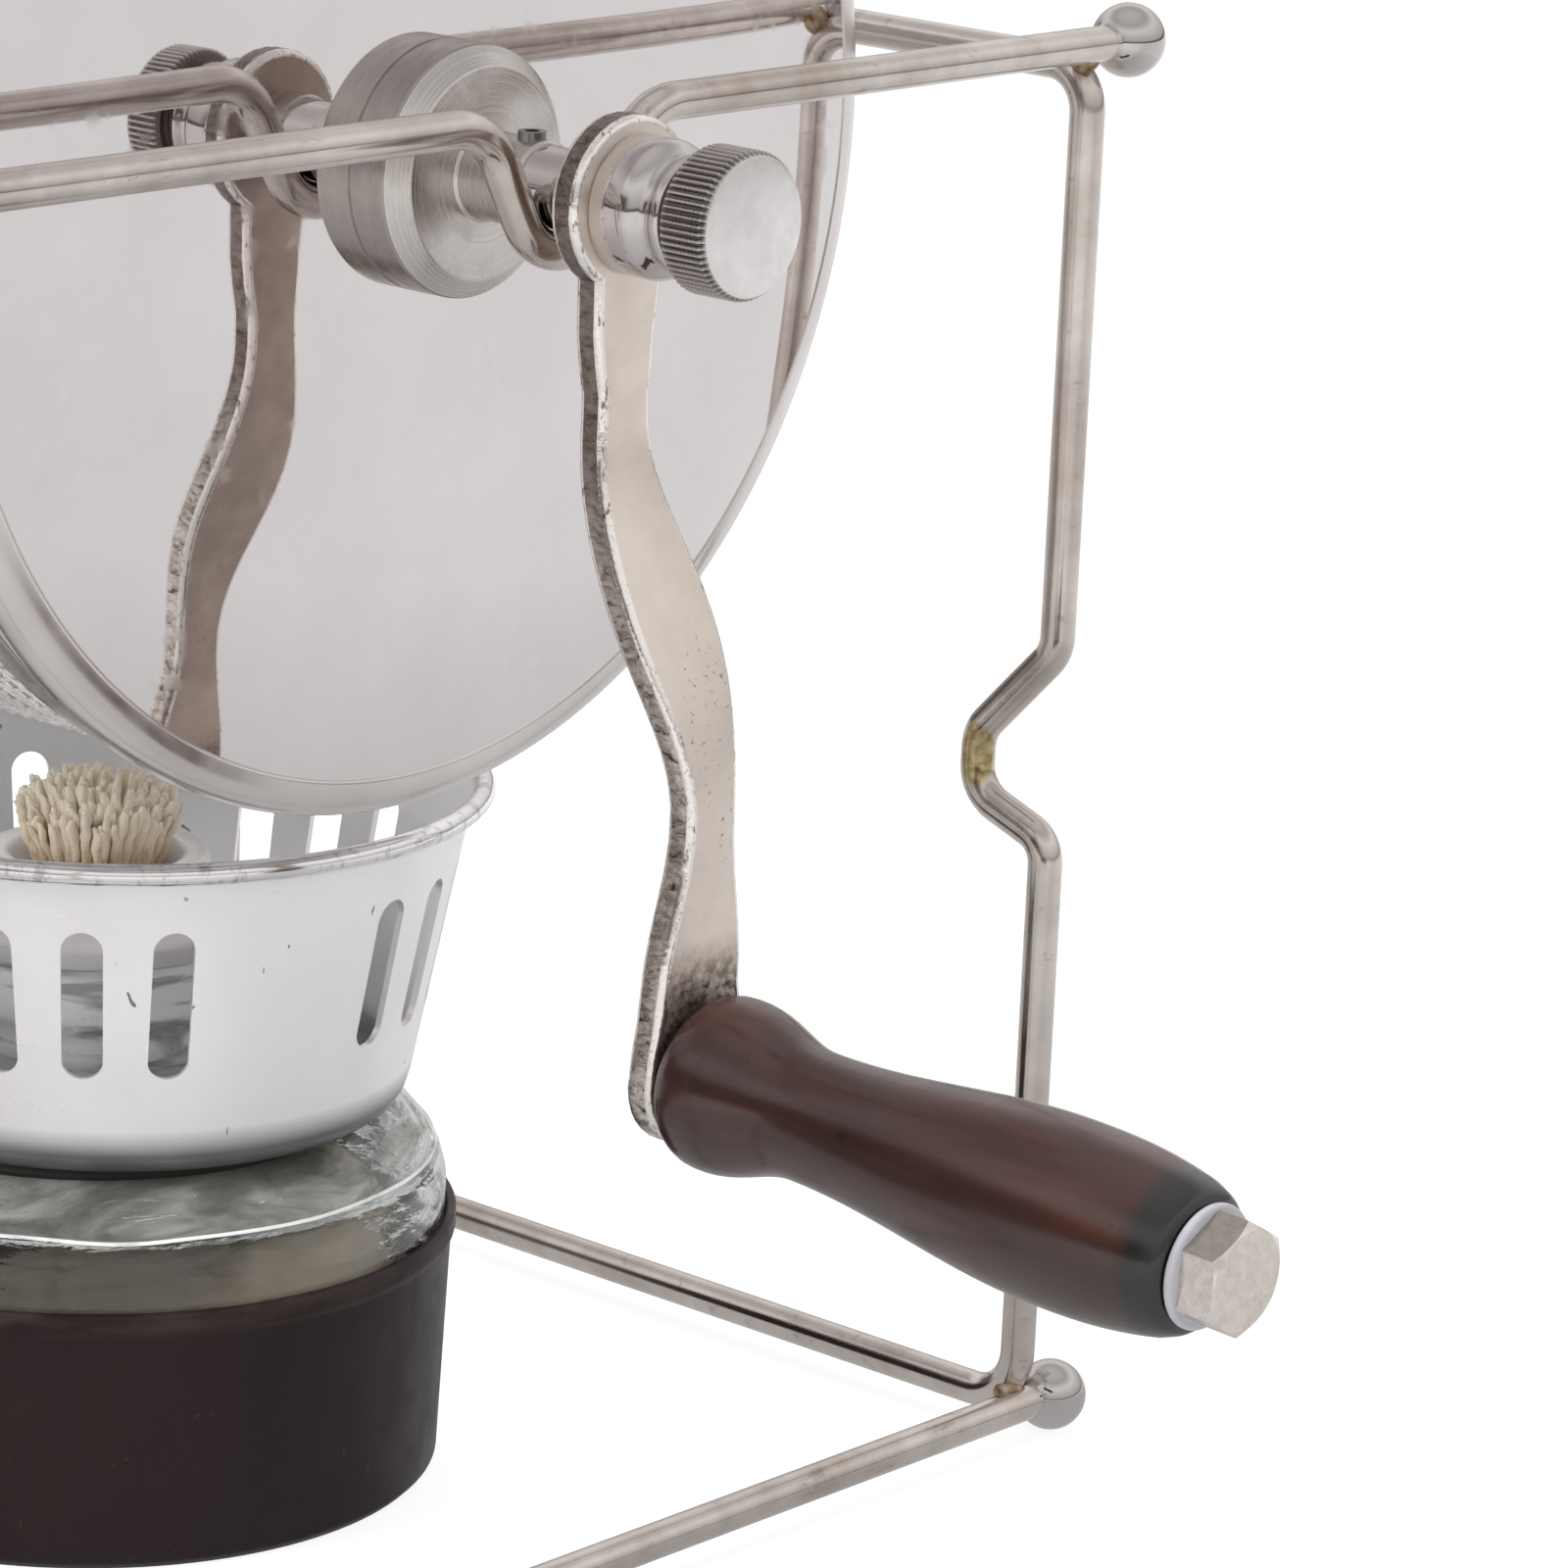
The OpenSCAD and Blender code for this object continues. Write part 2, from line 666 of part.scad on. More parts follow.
// Hollow bottle: slightly tapered inside the cup, round shoulder and a plain neck
module glass_reservoir() {
    color("lightblue", 0.4)
    on_burner()
        rotate_extrude($fn = 96)
            difference() {
                polygon(concat([[0, cup_floor], [glass_foot_r, cup_floor], [glass_r, cup_h]],
                               [for (p = shoulder_curve) [glass_r - p[0], shoulder_z - p[1]]],
                               [[neck_r, shoulder_z], [neck_r, neck_top_z], [0, neck_top_z]]));
                polygon([[-1, cup_floor + glass_t], [glass_foot_r - glass_t, cup_floor + glass_t],
                         [glass_r - glass_t, cup_h], [glass_r - glass_t, shoulder_z - 8],
                         [glass_r - glass_t - 3, shoulder_z - 4],
                         [glass_r - glass_t - 7, shoulder_z - glass_t],
                         [neck_r - glass_t, shoulder_z - glass_t],
                         [neck_r - glass_t, neck_top_z + 1], [-1, neck_top_z + 1]]);
            }
}

// Cotton that fills the reservoir and holds the spirit
module fuel_wadding() {
    color("tan")
    on_burner()
        rotate_extrude()
            polygon([[0, cup_floor + glass_t + gap],
                     [glass_foot_r - glass_t - 2 * gap, cup_floor + glass_t + gap],
                     [glass_r - glass_t - 2 * gap, cup_h], [glass_r - glass_t - 2 * gap, shoulder_z - 10],
                     [glass_r - glass_t - 4, shoulder_z - 6],
                     [neck_r - glass_t - 4, shoulder_z - glass_t - 2], [0, shoulder_z - glass_t - 2]]);
}

module seal_ring() {
    color("#2a2422")
    on_burner()
        translate([0, 0, shoulder_z])
            difference() {
                cylinder(h = seal_t, r = shield_floor_r - 2.2);
                translate([0, 0, -1]) cylinder(h = seal_t + 2, r = neck_r + 0.4);
            }
}

// Ceramic plug with a collar that rests on the neck
module wick_holder() {
    color("white")
    on_burner()
        rotate_extrude()
            polygon([[wick_r + gap, neck_top_z - holder_plug],
                     [neck_r - glass_t - gap, neck_top_z - holder_plug],
                     [neck_r - glass_t - gap, neck_top_z], [neck_r + holder_lap, neck_top_z],
                     [neck_r + holder_lap, neck_top_z + holder_flange],
                     [ceramic_r, neck_top_z + holder_flange + 1],
                     [ceramic_r, ceramic_top_z - 0.6], [ceramic_r - 0.6, ceramic_top_z],
                     [wick_flare_r - 0.8, ceramic_top_z], [wick_r + gap, ceramic_top_z - 3.5]]);
}

module wick() {
    color("wheat")
    on_burner()
        rotate_extrude()
            polygon([[0, shoulder_z - glass_t - 1.9], [wick_r, shoulder_z - glass_t - 1.9],
                     [wick_r, ceramic_top_z - 3.5], [wick_flare_r - 1.2, ceramic_top_z],
                     [wick_flare_r, ceramic_top_z + 5], [wick_flare_r - 0.6, wick_top_z - 1.6],
                     [wick_flare_r - 3, wick_top_z], [0, wick_top_z]]);
}

// Outside of the wind shield: a flat floor, a round bend and a straight, flaring wall
wall_low_z = shield_floor_z + shield_bend;
wall_low_r = shield_floor_r + 1.1;
wall_top_r = shield_rim_r - bead_r + 0.15;
shield_outside = [[shield_bore_r, shield_floor_z], [shield_floor_r - 2.4, shield_floor_z],
                  [shield_floor_r - 0.7, shield_floor_z + 0.8],
                  [shield_floor_r + 0.5, shield_floor_z + 2.2],
                  [wall_low_r, wall_low_z], [wall_top_r, shield_rim_z]];
slot_cut_r = wall_low_r - 3;
slot_cut_len = shield_rim_r - slot_cut_r + 4;

// An upright slot with round ends, pointing out along +X
module slot_cut() {
    for (z = [slot_low_z + slot_w / 2, slot_top_z - slot_w / 2])
        translate([slot_cut_r, 0, z]) rotate([0, 90, 0])
            cylinder(h = slot_cut_len, r = slot_w / 2, $fn = 32);
    translate([slot_cut_r, -slot_w / 2, slot_low_z + slot_w / 2])
        cube([slot_cut_len, slot_w, slot_len - slot_w]);
}

// Aluminium bowl with a rolled rim and groups of upright slots
module wind_shield() {
    color("lightsteelblue")
    on_burner() translate([shield_off[0], shield_off[1], 0])
        difference() {
            rotate_extrude($fn = 128)
                union() {
                    polygon(concat(shield_outside,
                                   [for (i = [len(shield_outside) - 1 : -1 : 0])
                                    shield_outside[i] + (i < 2 ? [0, shield_t] : [-shield_t, shield_t / 2])]));
                    translate([shield_rim_r, shield_rim_z]) circle(r = bead_r, $fn = 32);
                }
            for (g = [0 : slot_groups - 1], k = [0 : slots_in_group - 1])
                rotate([0, 0, first_group + g * 360 / slot_groups
                        + (k - (slots_in_group - 1) / 2) * slot_pitch])
                    slot_cut();
        }
}

side_loop_left();
side_loop_right();
top_bar_crank();
top_bar_far();
base_bar_crank();
base_bar_far();
ball_ends();
weld_beads();
drum_mesh();
crank_end_disc();
far_end_disc();
shaft();
crank_hub();
far_hub();
hub_set_screws();
far_collar();
shaft_collar();
stirring_vanes();
door_rails();
crank_arm();
arm_ferrule();
grip_bolt();
grip_washer();
filling_door();
thumb_nut();
wooden_grip();
base_cup();
glass_reservoir();
fuel_wadding();
seal_ring();
wick_holder();
wick();
wind_shield();
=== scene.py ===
# %% [markdown]
# # A hand cranked coffee roaster
# The roaster is a nickel plated wire stand, a mesh drum between two polished discs, a cast
# crank with a turned wooden grip, and a small spirit burner underneath. The construction
# comes in as a frame of plain solids. This lesson gives each of them its real surface.

# %% The frame
import math
import random

import bmesh
import bpy
from mathutils import noise as ripple
from mathutils import Matrix, Vector


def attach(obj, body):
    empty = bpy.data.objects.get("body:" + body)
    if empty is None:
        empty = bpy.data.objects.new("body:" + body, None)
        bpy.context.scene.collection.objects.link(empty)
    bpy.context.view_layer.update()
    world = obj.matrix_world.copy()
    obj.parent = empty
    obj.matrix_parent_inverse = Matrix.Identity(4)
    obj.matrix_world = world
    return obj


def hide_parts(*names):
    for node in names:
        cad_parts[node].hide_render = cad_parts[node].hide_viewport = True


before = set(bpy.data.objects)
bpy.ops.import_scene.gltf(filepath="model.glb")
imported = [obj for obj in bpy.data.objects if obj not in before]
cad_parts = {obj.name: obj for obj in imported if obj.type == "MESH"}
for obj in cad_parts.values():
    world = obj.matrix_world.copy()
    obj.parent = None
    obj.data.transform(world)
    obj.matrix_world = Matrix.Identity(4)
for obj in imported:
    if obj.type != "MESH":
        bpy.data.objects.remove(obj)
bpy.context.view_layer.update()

MM = 0.001

# %% [markdown]
# Every size below is in millimetres, because that is how a maker would measure the
# roaster. A few of them drive the rest: the wire, the drum, the shaft's height and the
# place of the grip. The scene works in metres, so points are scaled once, when a mesh is
# finished.

# %% Driving sizes
WIRE_R = 1.9
BALL_R = 4.0
POST_X = 63.5
LOOP_Y = 81.7
LOOP_TOP_Z = 153.1
LOOP_LOW_Z = 4.1
BAR_X = POST_X + 1
TOP_BAR_Z = LOOP_TOP_Z + 2.5
BALL_Y = LOOP_Y + 5
BAR_END_Y = BALL_Y - 2

AXIS_Z = 148.4
SHAFT_R = 4.0
WALL_R = 63.1
FACE_X = 48.0
LIP_R = 65.7
SKIRT_R = 63.9
DISC_DEPTH = 13.0
HUB_R = 12.5
HUB_FACE_X = 54.4
BOSS_R = 4.4
WIRE_GAP = 0.3
BOSS_END_X = BAR_X - WIRE_R - WIRE_GAP
COLLAR_X = BAR_X + WIRE_R + WIRE_GAP
COLLAR_LEN = 3.9
ARM_X = COLLAR_X + COLLAR_LEN
ARM_T = 3.3
ARM_STEP = 12.3
FERRULE_X = ARM_X + ARM_T
NUT_FACE_X = FERRULE_X + 15.2
DROOP = math.radians(3.1)
THROW = 84.2
GRIP_Z = AXIS_Z - THROW
GRIP_Y = 1.5
GRIP_LEN = 61.8
BEND_TOP_Z = AXIS_Z - 21.5
BEND_LOW_Z = BEND_TOP_Z - 37
QUARTER = math.pi / 2
FULL_TURN = 2 * math.pi

# %% [markdown]
# The shaft lies along X and the grip droops a little from it, but a turned piece is easiest
# to describe standing up, as a radius at each height. So each turned piece is drawn round
# the Z axis and carried to its place by one matrix, which is applied to the mesh and not to
# the object. That keeps every object at the origin, unturned.

# %% Places
UPRIGHT = Matrix.Identity(4)
ALONG_X = Matrix.Rotation(QUARTER, 4, "Y")
STAND_UP = Matrix.Rotation(QUARTER, 4, "X")
ACROSS = Matrix.Rotation(QUARTER, 4, "Z") @ STAND_UP
RAISED = Matrix.Translation((0, 0, AXIS_Z))
ON_SHAFT = RAISED @ ALONG_X
FAR_SHAFT = Matrix.Scale(-1, 4, (1, 0, 0)) @ ON_SHAFT


def further(place, distance):
    """The place that lies a distance further along a place's own Z axis."""
    return place @ Matrix.Translation((0, 0, distance))


def eased(low, high, part):
    """From low to high as part goes from 0 to 1, level at both ends."""
    return low + (high - low) * (1 - math.cos(math.pi * part)) / 2


def arm_back(z):
    """x of the strap's back face at height z: a smooth step out, then a slight lean back."""
    if z >= BEND_TOP_Z:
        return ARM_X
    if z >= BEND_LOW_Z:
        return eased(ARM_X, ARM_X + ARM_STEP, (BEND_TOP_Z - z) / (BEND_TOP_Z - BEND_LOW_Z))
    lean = math.tan(DROOP) / (2 * (BEND_LOW_Z - GRIP_Z))
    return ARM_X + ARM_STEP - lean * (BEND_LOW_Z - z) ** 2


GRIP_PLACE = Vector((arm_back(GRIP_Z) + ARM_T, GRIP_Y, GRIP_Z))
ON_GRIP = Matrix.Translation(GRIP_PLACE) @ Matrix.Rotation(QUARTER + DROOP, 4, "Y")
print("grip starts at", [round(v, 1) for v in GRIP_PLACE])

# %% [markdown]
# ## The camera
# A long lens from the crank's side, a little above the drum, tilted a few degrees. The
# direction is built from an azimuth, an elevation and a roll, so each can be read.

# %% Camera
CAMERA_PLACE = Vector((487.4, -456.2, 256.5))
CAMERA_AZIMUTH = math.radians(40.64)
CAMERA_ELEVATION = math.radians(14.96)
CAMERA_ROLL = math.radians(2.6)
LENS = 150.35


def make_camera():
    back = Vector((math.sin(CAMERA_AZIMUTH) * math.cos(CAMERA_ELEVATION),
                   -math.cos(CAMERA_AZIMUTH) * math.cos(CAMERA_ELEVATION),
                   math.sin(CAMERA_ELEVATION)))
    level = Vector((math.cos(CAMERA_AZIMUTH), math.sin(CAMERA_AZIMUTH), 0))
    right = Matrix.Rotation(CAMERA_ROLL, 4, back) @ level
    cam = bpy.data.objects.new("camera", bpy.data.cameras.new("camera"))
    cam.data.lens = LENS
    cam.data.sensor_width = 36
    cam.data.clip_start = 0.01
    cam.data.clip_end = 20
    axes = Matrix((right, back.cross(right), back)).transposed()
    cam.matrix_world = Matrix.Translation(CAMERA_PLACE * MM) @ axes.to_4x4()
    bpy.context.collection.objects.link(cam)
    bpy.context.scene.camera = cam


make_camera()
print("camera with a", LENS, "mm lens")

# %% [markdown]
# ## Making materials
# A small kit writes the node trees. One helper adds any node, fills its inputs with values
# or links, and returns an output. The rest are short names for the nodes used most, so
# that a finish reads like a recipe: a base, some noise, a bump.

# %% Node kit
class Nodes:
    """A node tree, of a material or of the world, and helpers that add nodes to it."""

    def __init__(self, tree):
        self.tree = tree

    def add(self, kind, output, inputs, **traits):
        node = self.tree.nodes.new("ShaderNode" + kind)
        for key, value in traits.items():
            setattr(node, key, value)
        for socket, value in inputs.items():
            if isinstance(value, bpy.types.NodeSocket):
                self.tree.links.new(value, node.inputs[socket])
            else:
                node.inputs[socket].default_value = value
        return node.outputs[output]

    def ramp(self, value, stops):
        color = self.add("ValToRGB", "Color", {"Fac": value})
        elements = color.node.color_ramp.elements
        while len(elements) < len(stops):
            elements.new(0.5)
        for element, (at, tone) in zip(elements, stops):
            element.position = at
            element.color = (*tone, 1)
        return color

    def span(self, value, low, high, to_low, to_high):
        return self.add("MapRange", "Result", {"Value": value, "From Min": low, "From Max": high,
                                               "To Min": to_low, "To Max": to_high})

    def math(self, kind, a, b):
        return self.add("Math", "Value", {0: a, 1: b}, operation=kind)

    def mix(self, share, a, b):
        a, b = ((*c, 1) if isinstance(c, tuple) else c for c in (a, b))
        return self.add("Mix", 2, {0: share, 6: a, 7: b}, data_type="RGBA")

    def axis(self, vector, axis):
        return self.add("SeparateXYZ", axis, {"Vector": vector})

    def rings(self, vector):
        """Distance from the Z axis of a mapped vector."""
        squares = [self.math("MULTIPLY", v, v) for v in (self.axis(vector, "X"), self.axis(vector, "Y"))]
        return self.math("SQRT", self.math("ADD", *squares), 0)

    def choose(self, share, a, b):
        return self.add("MixShader", "Shader", {0: share, 1: a, 2: b})


# %% [markdown]
# A finish is a tree with a Principled shader in it. Patterns read Object coordinates,
# which stay with the piece when it moves. A pattern can be stretched: a scale under 1
# along an axis draws it out that way.

# %% Material kit
class Finish(Nodes):
    """A Principled material and the patterns that go into it."""

    def __init__(self, name, color, metallic=0.0, roughness=0.5, **sockets):
        self.material = bpy.data.materials.new(name)
        self.material.use_nodes = True
        super().__init__(self.material.node_tree)
        self.shader = self.tree.nodes["Principled BSDF"]
        sockets.update(Base_Color=(*color, 1), Metallic=metallic, Roughness=roughness)
        for key, value in sockets.items():
            self.shader.inputs[key.replace("_", " ")].default_value = value
        self.where = self.place()

    def place(self, scale=(1, 1, 1), turn=(0, 0, 0), shift=(0, 0, 0)):
        return self.add("Mapping", "Vector", {"Vector": self.add("TexCoord", "Object", {}),
                                              "Scale": scale, "Rotation": turn, "Location": shift})

    def noise(self, scale, detail=4.0, rough=0.55, warp=0.0, stretch=None, turn=(0, 0, 0)):
        where = self.place(stretch, turn) if stretch else self.where
        return self.add("TexNoise", "Fac", {"Vector": where, "Scale": scale, "Detail": detail,
                                            "Roughness": rough, "Distortion": warp})

    def height(self, low, high, at_low, at_high):
        """Goes from one value to another between two heights in millimetres."""
        return self.span(self.axis(self.where, "Z"), low * MM, high * MM, at_low, at_high)

    def worn_spot(self, middle, half):
        """1 inside an ellipsoid at middle with the given half sizes, 0 outside, soft edge."""
        size = [1 / h for h in half]
        shift = [-m * MM * k for m, k in zip(middle, size)]
        distance = self.add("VectorMath", "Value", {0: self.place(size, shift=shift)},
                            operation="LENGTH")
        return self.span(distance, 0.85, 1.05, 1, 0)

    def join(self, output, socket):
        self.tree.links.new(output, self.shader.inputs[socket])

    def color(self, value, *stops):
        self.join(self.ramp(value, stops) if stops else value, "Base Color")

    def rough(self, value, *limits):
        self.join(self.span(value, *limits) if limits else value, "Roughness")

    def bump(self, height, strength, depth):
        inputs = {"Height": height, "Strength": strength, "Distance": depth}
        before = self.shader.inputs["Normal"]
        if before.is_linked:
            inputs["Normal"] = before.links[0].from_socket
        self.join(self.add("Bump", "Normal", inputs), "Normal")


def plain(name, color, metallic, roughness, tones=None, gloss=None, grain=None, **sockets):
    """A finish from up to three noises: one tints it, one dulls it, one gives it a grain."""
    f = Finish(name, color, metallic, roughness, **sockets)
    if tones:
        f.color(f.noise(*tones[0]), *tones[1:])
    if gloss:
        f.rough(f.noise(*gloss[0]), *gloss[1:])
    if grain:
        f.bump(f.noise(*grain[0]), *grain[1:])
    return f.material


# %% [markdown]
# ## Making pieces
# A finished bmesh becomes a piece in one place: doubles are merged, the faces are turned to
# point outwards, the whole is carried to its place and scaled to metres, and edges sharper
# than a limit stay crisp while the rest is shaded smooth.

# %% Finishing a piece
MERGE_DISTANCE = 0.001


def finish_piece(bm, name, materials, body, stands_for, place=UPRIGHT, sharp=35):
    bmesh.ops.remove_doubles(bm, verts=bm.verts, dist=MERGE_DISTANCE)
    bmesh.ops.recalc_face_normals(bm, faces=bm.faces)
    bmesh.ops.transform(bm, matrix=Matrix.Scale(MM, 4) @ place, verts=bm.verts)
    if place.determinant() < 0:
        bmesh.ops.reverse_faces(bm, faces=bm.faces)
    mesh = as_mesh(bm, name)
    for face in mesh.polygons:
        face.use_smooth = True
    mesh.set_sharp_from_angle(angle=math.radians(sharp))
    for material in materials:
        mesh.materials.append(material)
    piece = as_object(mesh)
    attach(piece, body)
    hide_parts(*stands_for)
    print(name, len(mesh.polygons), "faces")
    return piece


def as_mesh(bm, name):
    mesh = bpy.data.meshes.new(name)
    bm.to_mesh(mesh)
    bm.free()
    return mesh


def as_object(mesh):
    thing = bpy.data.objects.new(mesh.name, mesh)
    bpy.context.collection.objects.link(thing)
    return thing


# %% [markdown]
# Most shapes grow from a ring of edges or from a face, which is extruded and then moved.
# After each step the new points and edges are picked out of what the step returns.

# %% Growing shapes
def all_of(bm):
    return bm.verts[:] + bm.edges[:] + bm.faces[:]


def points_of(geometry):
    return [g for g in geometry if isinstance(g, bmesh.types.BMVert)]


def edges_of(geometry):
    return [g for g in geometry if isinstance(g, bmesh.types.BMEdge)]


def ring_of(bm, sides, radius, matrix):
    """A round ring of points, and its edges."""
    ring = bmesh.ops.create_circle(bm, segments=sides, radius=radius, matrix=matrix)["verts"]
    return ring, list({e for v in ring for e in v.link_edges})


def grow_ring(bm, edges, move):
    """Extrudes a ring's edges by a move, and returns the new ring and its edges."""
    grown = bmesh.ops.extrude_edge_only(bm, edges=edges)["geom"]
    ring = points_of(grown)
    bmesh.ops.translate(bm, vec=move, verts=ring)
    return ring, [e for e in edges_of(grown) if all(v in ring for v in e.verts)]


def grow_face(bm, face, move):
    """Extrudes a face by a move."""
    grown = bmesh.ops.extrude_face_region(bm, geom=[face])["geom"]
    bmesh.ops.translate(bm, vec=move, verts=points_of(grown))


# %% [markdown]
# A turned piece starts as a few points of its profile, joined by edges. Corners are
# rounded first, while the profile is still a line, by bevelling single vertices. One spin
# then makes the whole surface. Points on the axis land on each other and are merged.

# %% Turning on a lathe
def turned(profile, rounds=(), steps=96, ring=False):
    """profile: (radius, height) points; rounds: {index: offset} corners to round."""
    bm = bmesh.new()
    points = [bm.verts.new((r, 0, z)) for r, z in profile]
    for a, b in zip(points, points[1:]):
        bm.edges.new((a, b))
    if ring:
        bm.edges.new((points[-1], points[0]))
    for index, offset in dict(rounds).items():
        bmesh.ops.bevel(bm, geom=[points[index]], offset=offset, affect="VERTICES",
                        segments=6, profile=0.5, material=-1)
    bmesh.ops.spin(bm, geom=bm.verts[:] + bm.edges[:], cent=(0, 0, 0), axis=(0, 0, 1),
                   angle=FULL_TURN, steps=steps, use_merge=True)
    return bm


def shifted(points, r, z):
    """Profile points that are given from a corner at radius r and height z."""
    return [(r + out, z + up) for out, up in points]


def from_axis(face):
    """How far a face's middle lies from the axis that it was turned round."""
    middle = face.calc_center_median()
    return math.hypot(middle.x, middle.y)


# %% [markdown]
# ## Metals
# Nickel plating is a mirror that has lost its edge: pale, a little warm, and broken up by
# fine lines from drawing the wire. The discs are true mirrors with a few dull specks. The
# hubs keep the fine rings that the lathe left. All of them are metallic shaders, so what
# tells them apart is how rough they are and which way their marks run.

# %% Metal finishes
JOGGLE_SPOT = (POST_X - 9.1, LOOP_Y - 1.5, 76.8)
JOGGLE_SPOT_HALF = (0.0019, 0.0022, 0.0039)
WIDE_X = (4, 1, 1)


def nickel_wire():
    """Plated wire, grimy in places, with the plating worn through to brass at one joggle."""
    f = Finish("nickel_wire", (0.62, 0.58, 0.55), 1.0, 0.16)
    f.rough(f.noise(160, 5, 0.6), 0.3, 0.75, 0.12, 0.24)
    plate = f.ramp(f.noise(55, 4, 0.65), [(0.3, (0.49, 0.43, 0.38)), (0.6, (0.72, 0.67, 0.63))])
    grime = f.span(f.noise(420, 5, 0.7, stretch=(1, 0.3, 1)), 0.60, 0.72, 0, 0.6)
    plate = f.mix(grime, plate, (0.27, 0.22, 0.18))
    brass = f.ramp(f.noise(900, 4, 0.7), [(0.35, (0.30, 0.22, 0.10)), (0.6, (0.56, 0.46, 0.26))])
    f.color(f.mix(f.worn_spot(JOGGLE_SPOT, JOGGLE_SPOT_HALF), plate, brass))
    f.bump(f.noise(900, 3, 0.6), 0.10, 0.00006)
    return f.material


def mirror_steel():
    f = Finish("mirror_steel", (0.72, 0.695, 0.69), 1.0, 0.03)
    clumps = f.span(f.noise(70, 2), 0.50, 0.60, 0, 1)
    flecks = f.span(f.noise(380, 3, 0.55), 0.50, 0.68, 0, 1)
    specks = f.math("MULTIPLY", clumps, flecks)
    haze = f.span(f.noise(30, 5, 0.6), 0.35, 0.8, 0.012, 0.05)
    f.rough(f.math("ADD", haze, f.math("MULTIPLY", specks, 0.12)))
    clouds = f.ramp(f.noise(45, 4, 0.6), [(0.35, (0.76, 0.722, 0.725)),
                                          (0.65, (0.805, 0.77, 0.772))])
    f.color(f.mix(f.math("MULTIPLY", specks, 0.6), clouds, (0.80, 0.785, 0.78)))
    f.bump(f.noise(9, 2), 0.015, 0.0006)
    return f.material


def turned_steel(name="turned_steel", color=(0.74, 0.70, 0.67), rough=(0.15, 0.34), groove=0):
    """Lathe marks run round the shaft; groove is the radius inside which a knurl's gaps get a painted
    shade.
    """
    f = Finish(name, color, 1.0, 0.3, Anisotropic=0.7)
    lathe = f.place(turn=(0, QUARTER, 0), shift=(-AXIS_Z * MM, 0, 0))
    radius = f.rings(lathe)
    along = f.axis(lathe, "Z")
    marks = f.add("TexNoise", "Fac", {"Scale": 4200, "Detail": 3, "W": f.math("ADD", radius, along)},
                  noise_dimensions="1D")
    patches = f.noise(260, 5, 0.7, stretch=(2.5, 1, 1))
    f.rough(f.math("ADD", f.span(marks, 0.3, 0.7, *rough), f.span(patches, 0.35, 0.7, -0.06, 0.12)))
    dark = tuple(0.70 * c for c in color)
    worn = f.mix(f.span(marks, 0.3, 0.7, 0, 1), dark, color)
    worn = f.mix(f.span(patches, 0.55, 0.75, 0, 0.55), worn, dark)
    # A knurl's grooves are painted dark: a painted shade between the teeth.
    if groove:
        groove_shade = f.span(radius, groove * MM, (groove + 0.3) * MM, 1, 0)
        side = f.span(along, -(NUT_FACE_X - 0.25) * MM, -(NUT_FACE_X - 0.5) * MM, 0, 1)
        worn = f.mix(f.math("MULTIPLY", groove_shade, side), worn, (0.20, 0.18, 0.17))
    f.color(worn)
    f.join(f.add("Tangent", "Tangent", {}, direction_type="RADIAL", axis="X"), "Tangent")
    f.bump(marks, 0.30, 0.00004)
    f.bump(patches, 0.10, 0.00008)
    return f.material


NICKEL_WIRE = nickel_wire()
POLISHED = plain("polished_nickel", (0.60, 0.57, 0.56), 1.0, 0.05,
                 gloss=((300, 4), 0.35, 0.75, 0.03, 0.10), grain=((220, 2), 0.06, 0.00008))
WELD_TINT = plain("weld_tint", (0.45, 0.33, 0.2), 1.0, 0.35, grain=((1200, 4), 0.5, 0.0002),
                  tones=((700, 4), (0.3, (0.16, 0.10, 0.06)), (0.5, (0.42, 0.30, 0.17)),
                         (0.7, (0.66, 0.58, 0.50))))
MIRROR = mirror_steel()
SATIN_EDGE = plain("satin_edge", (0.66, 0.63, 0.62), 1.0, 0.24,
                   tones=((60, 3, 0.55, 0.0, WIDE_X), (0.3, (0.72, 0.68, 0.67)),
                          (0.7, (0.84, 0.805, 0.795))),
                   gloss=((120, 4, 0.55, 0.0, WIDE_X), 0.3, 0.7, 0.17, 0.30))
TURNED = turned_steel()
KNURLED = turned_steel("knurled_steel", (0.74, 0.70, 0.69), (0.26, 0.40), 6.85)
MESH_STEEL = plain("mesh_steel", (0.85, 0.83, 0.82), 0.5, 0.28,
                   tones=((90, 3), (0.35, (0.74, 0.71, 0.70)), (0.65, (0.94, 0.92, 0.91))),
                   gloss=((500, 3), 0.3, 0.7, 0.18, 0.34))
DARK_STEEL = plain("dark_steel", (0.30, 0.29, 0.28), 1.0, 0.3, grain=((900, 4), 0.2, 0.00008))

# %% [markdown]
# ## The wire stand
# The stand is bent from one thickness of wire. A ring of edges is the wire's end: it is
# extruded along each straight run and spun round the middle of each bend, as a bender
# would pull the wire round a former. The bend's middle and its angle follow from the two
# runs and the bend's radius.

# %% Bending wire
BEND_STEP = math.radians(7)


def lead(a, b, c, radius):
    """How far before corner b the bend begins."""
    return radius * math.tan(abs((b - a).angle_signed(c - b)) / 2)


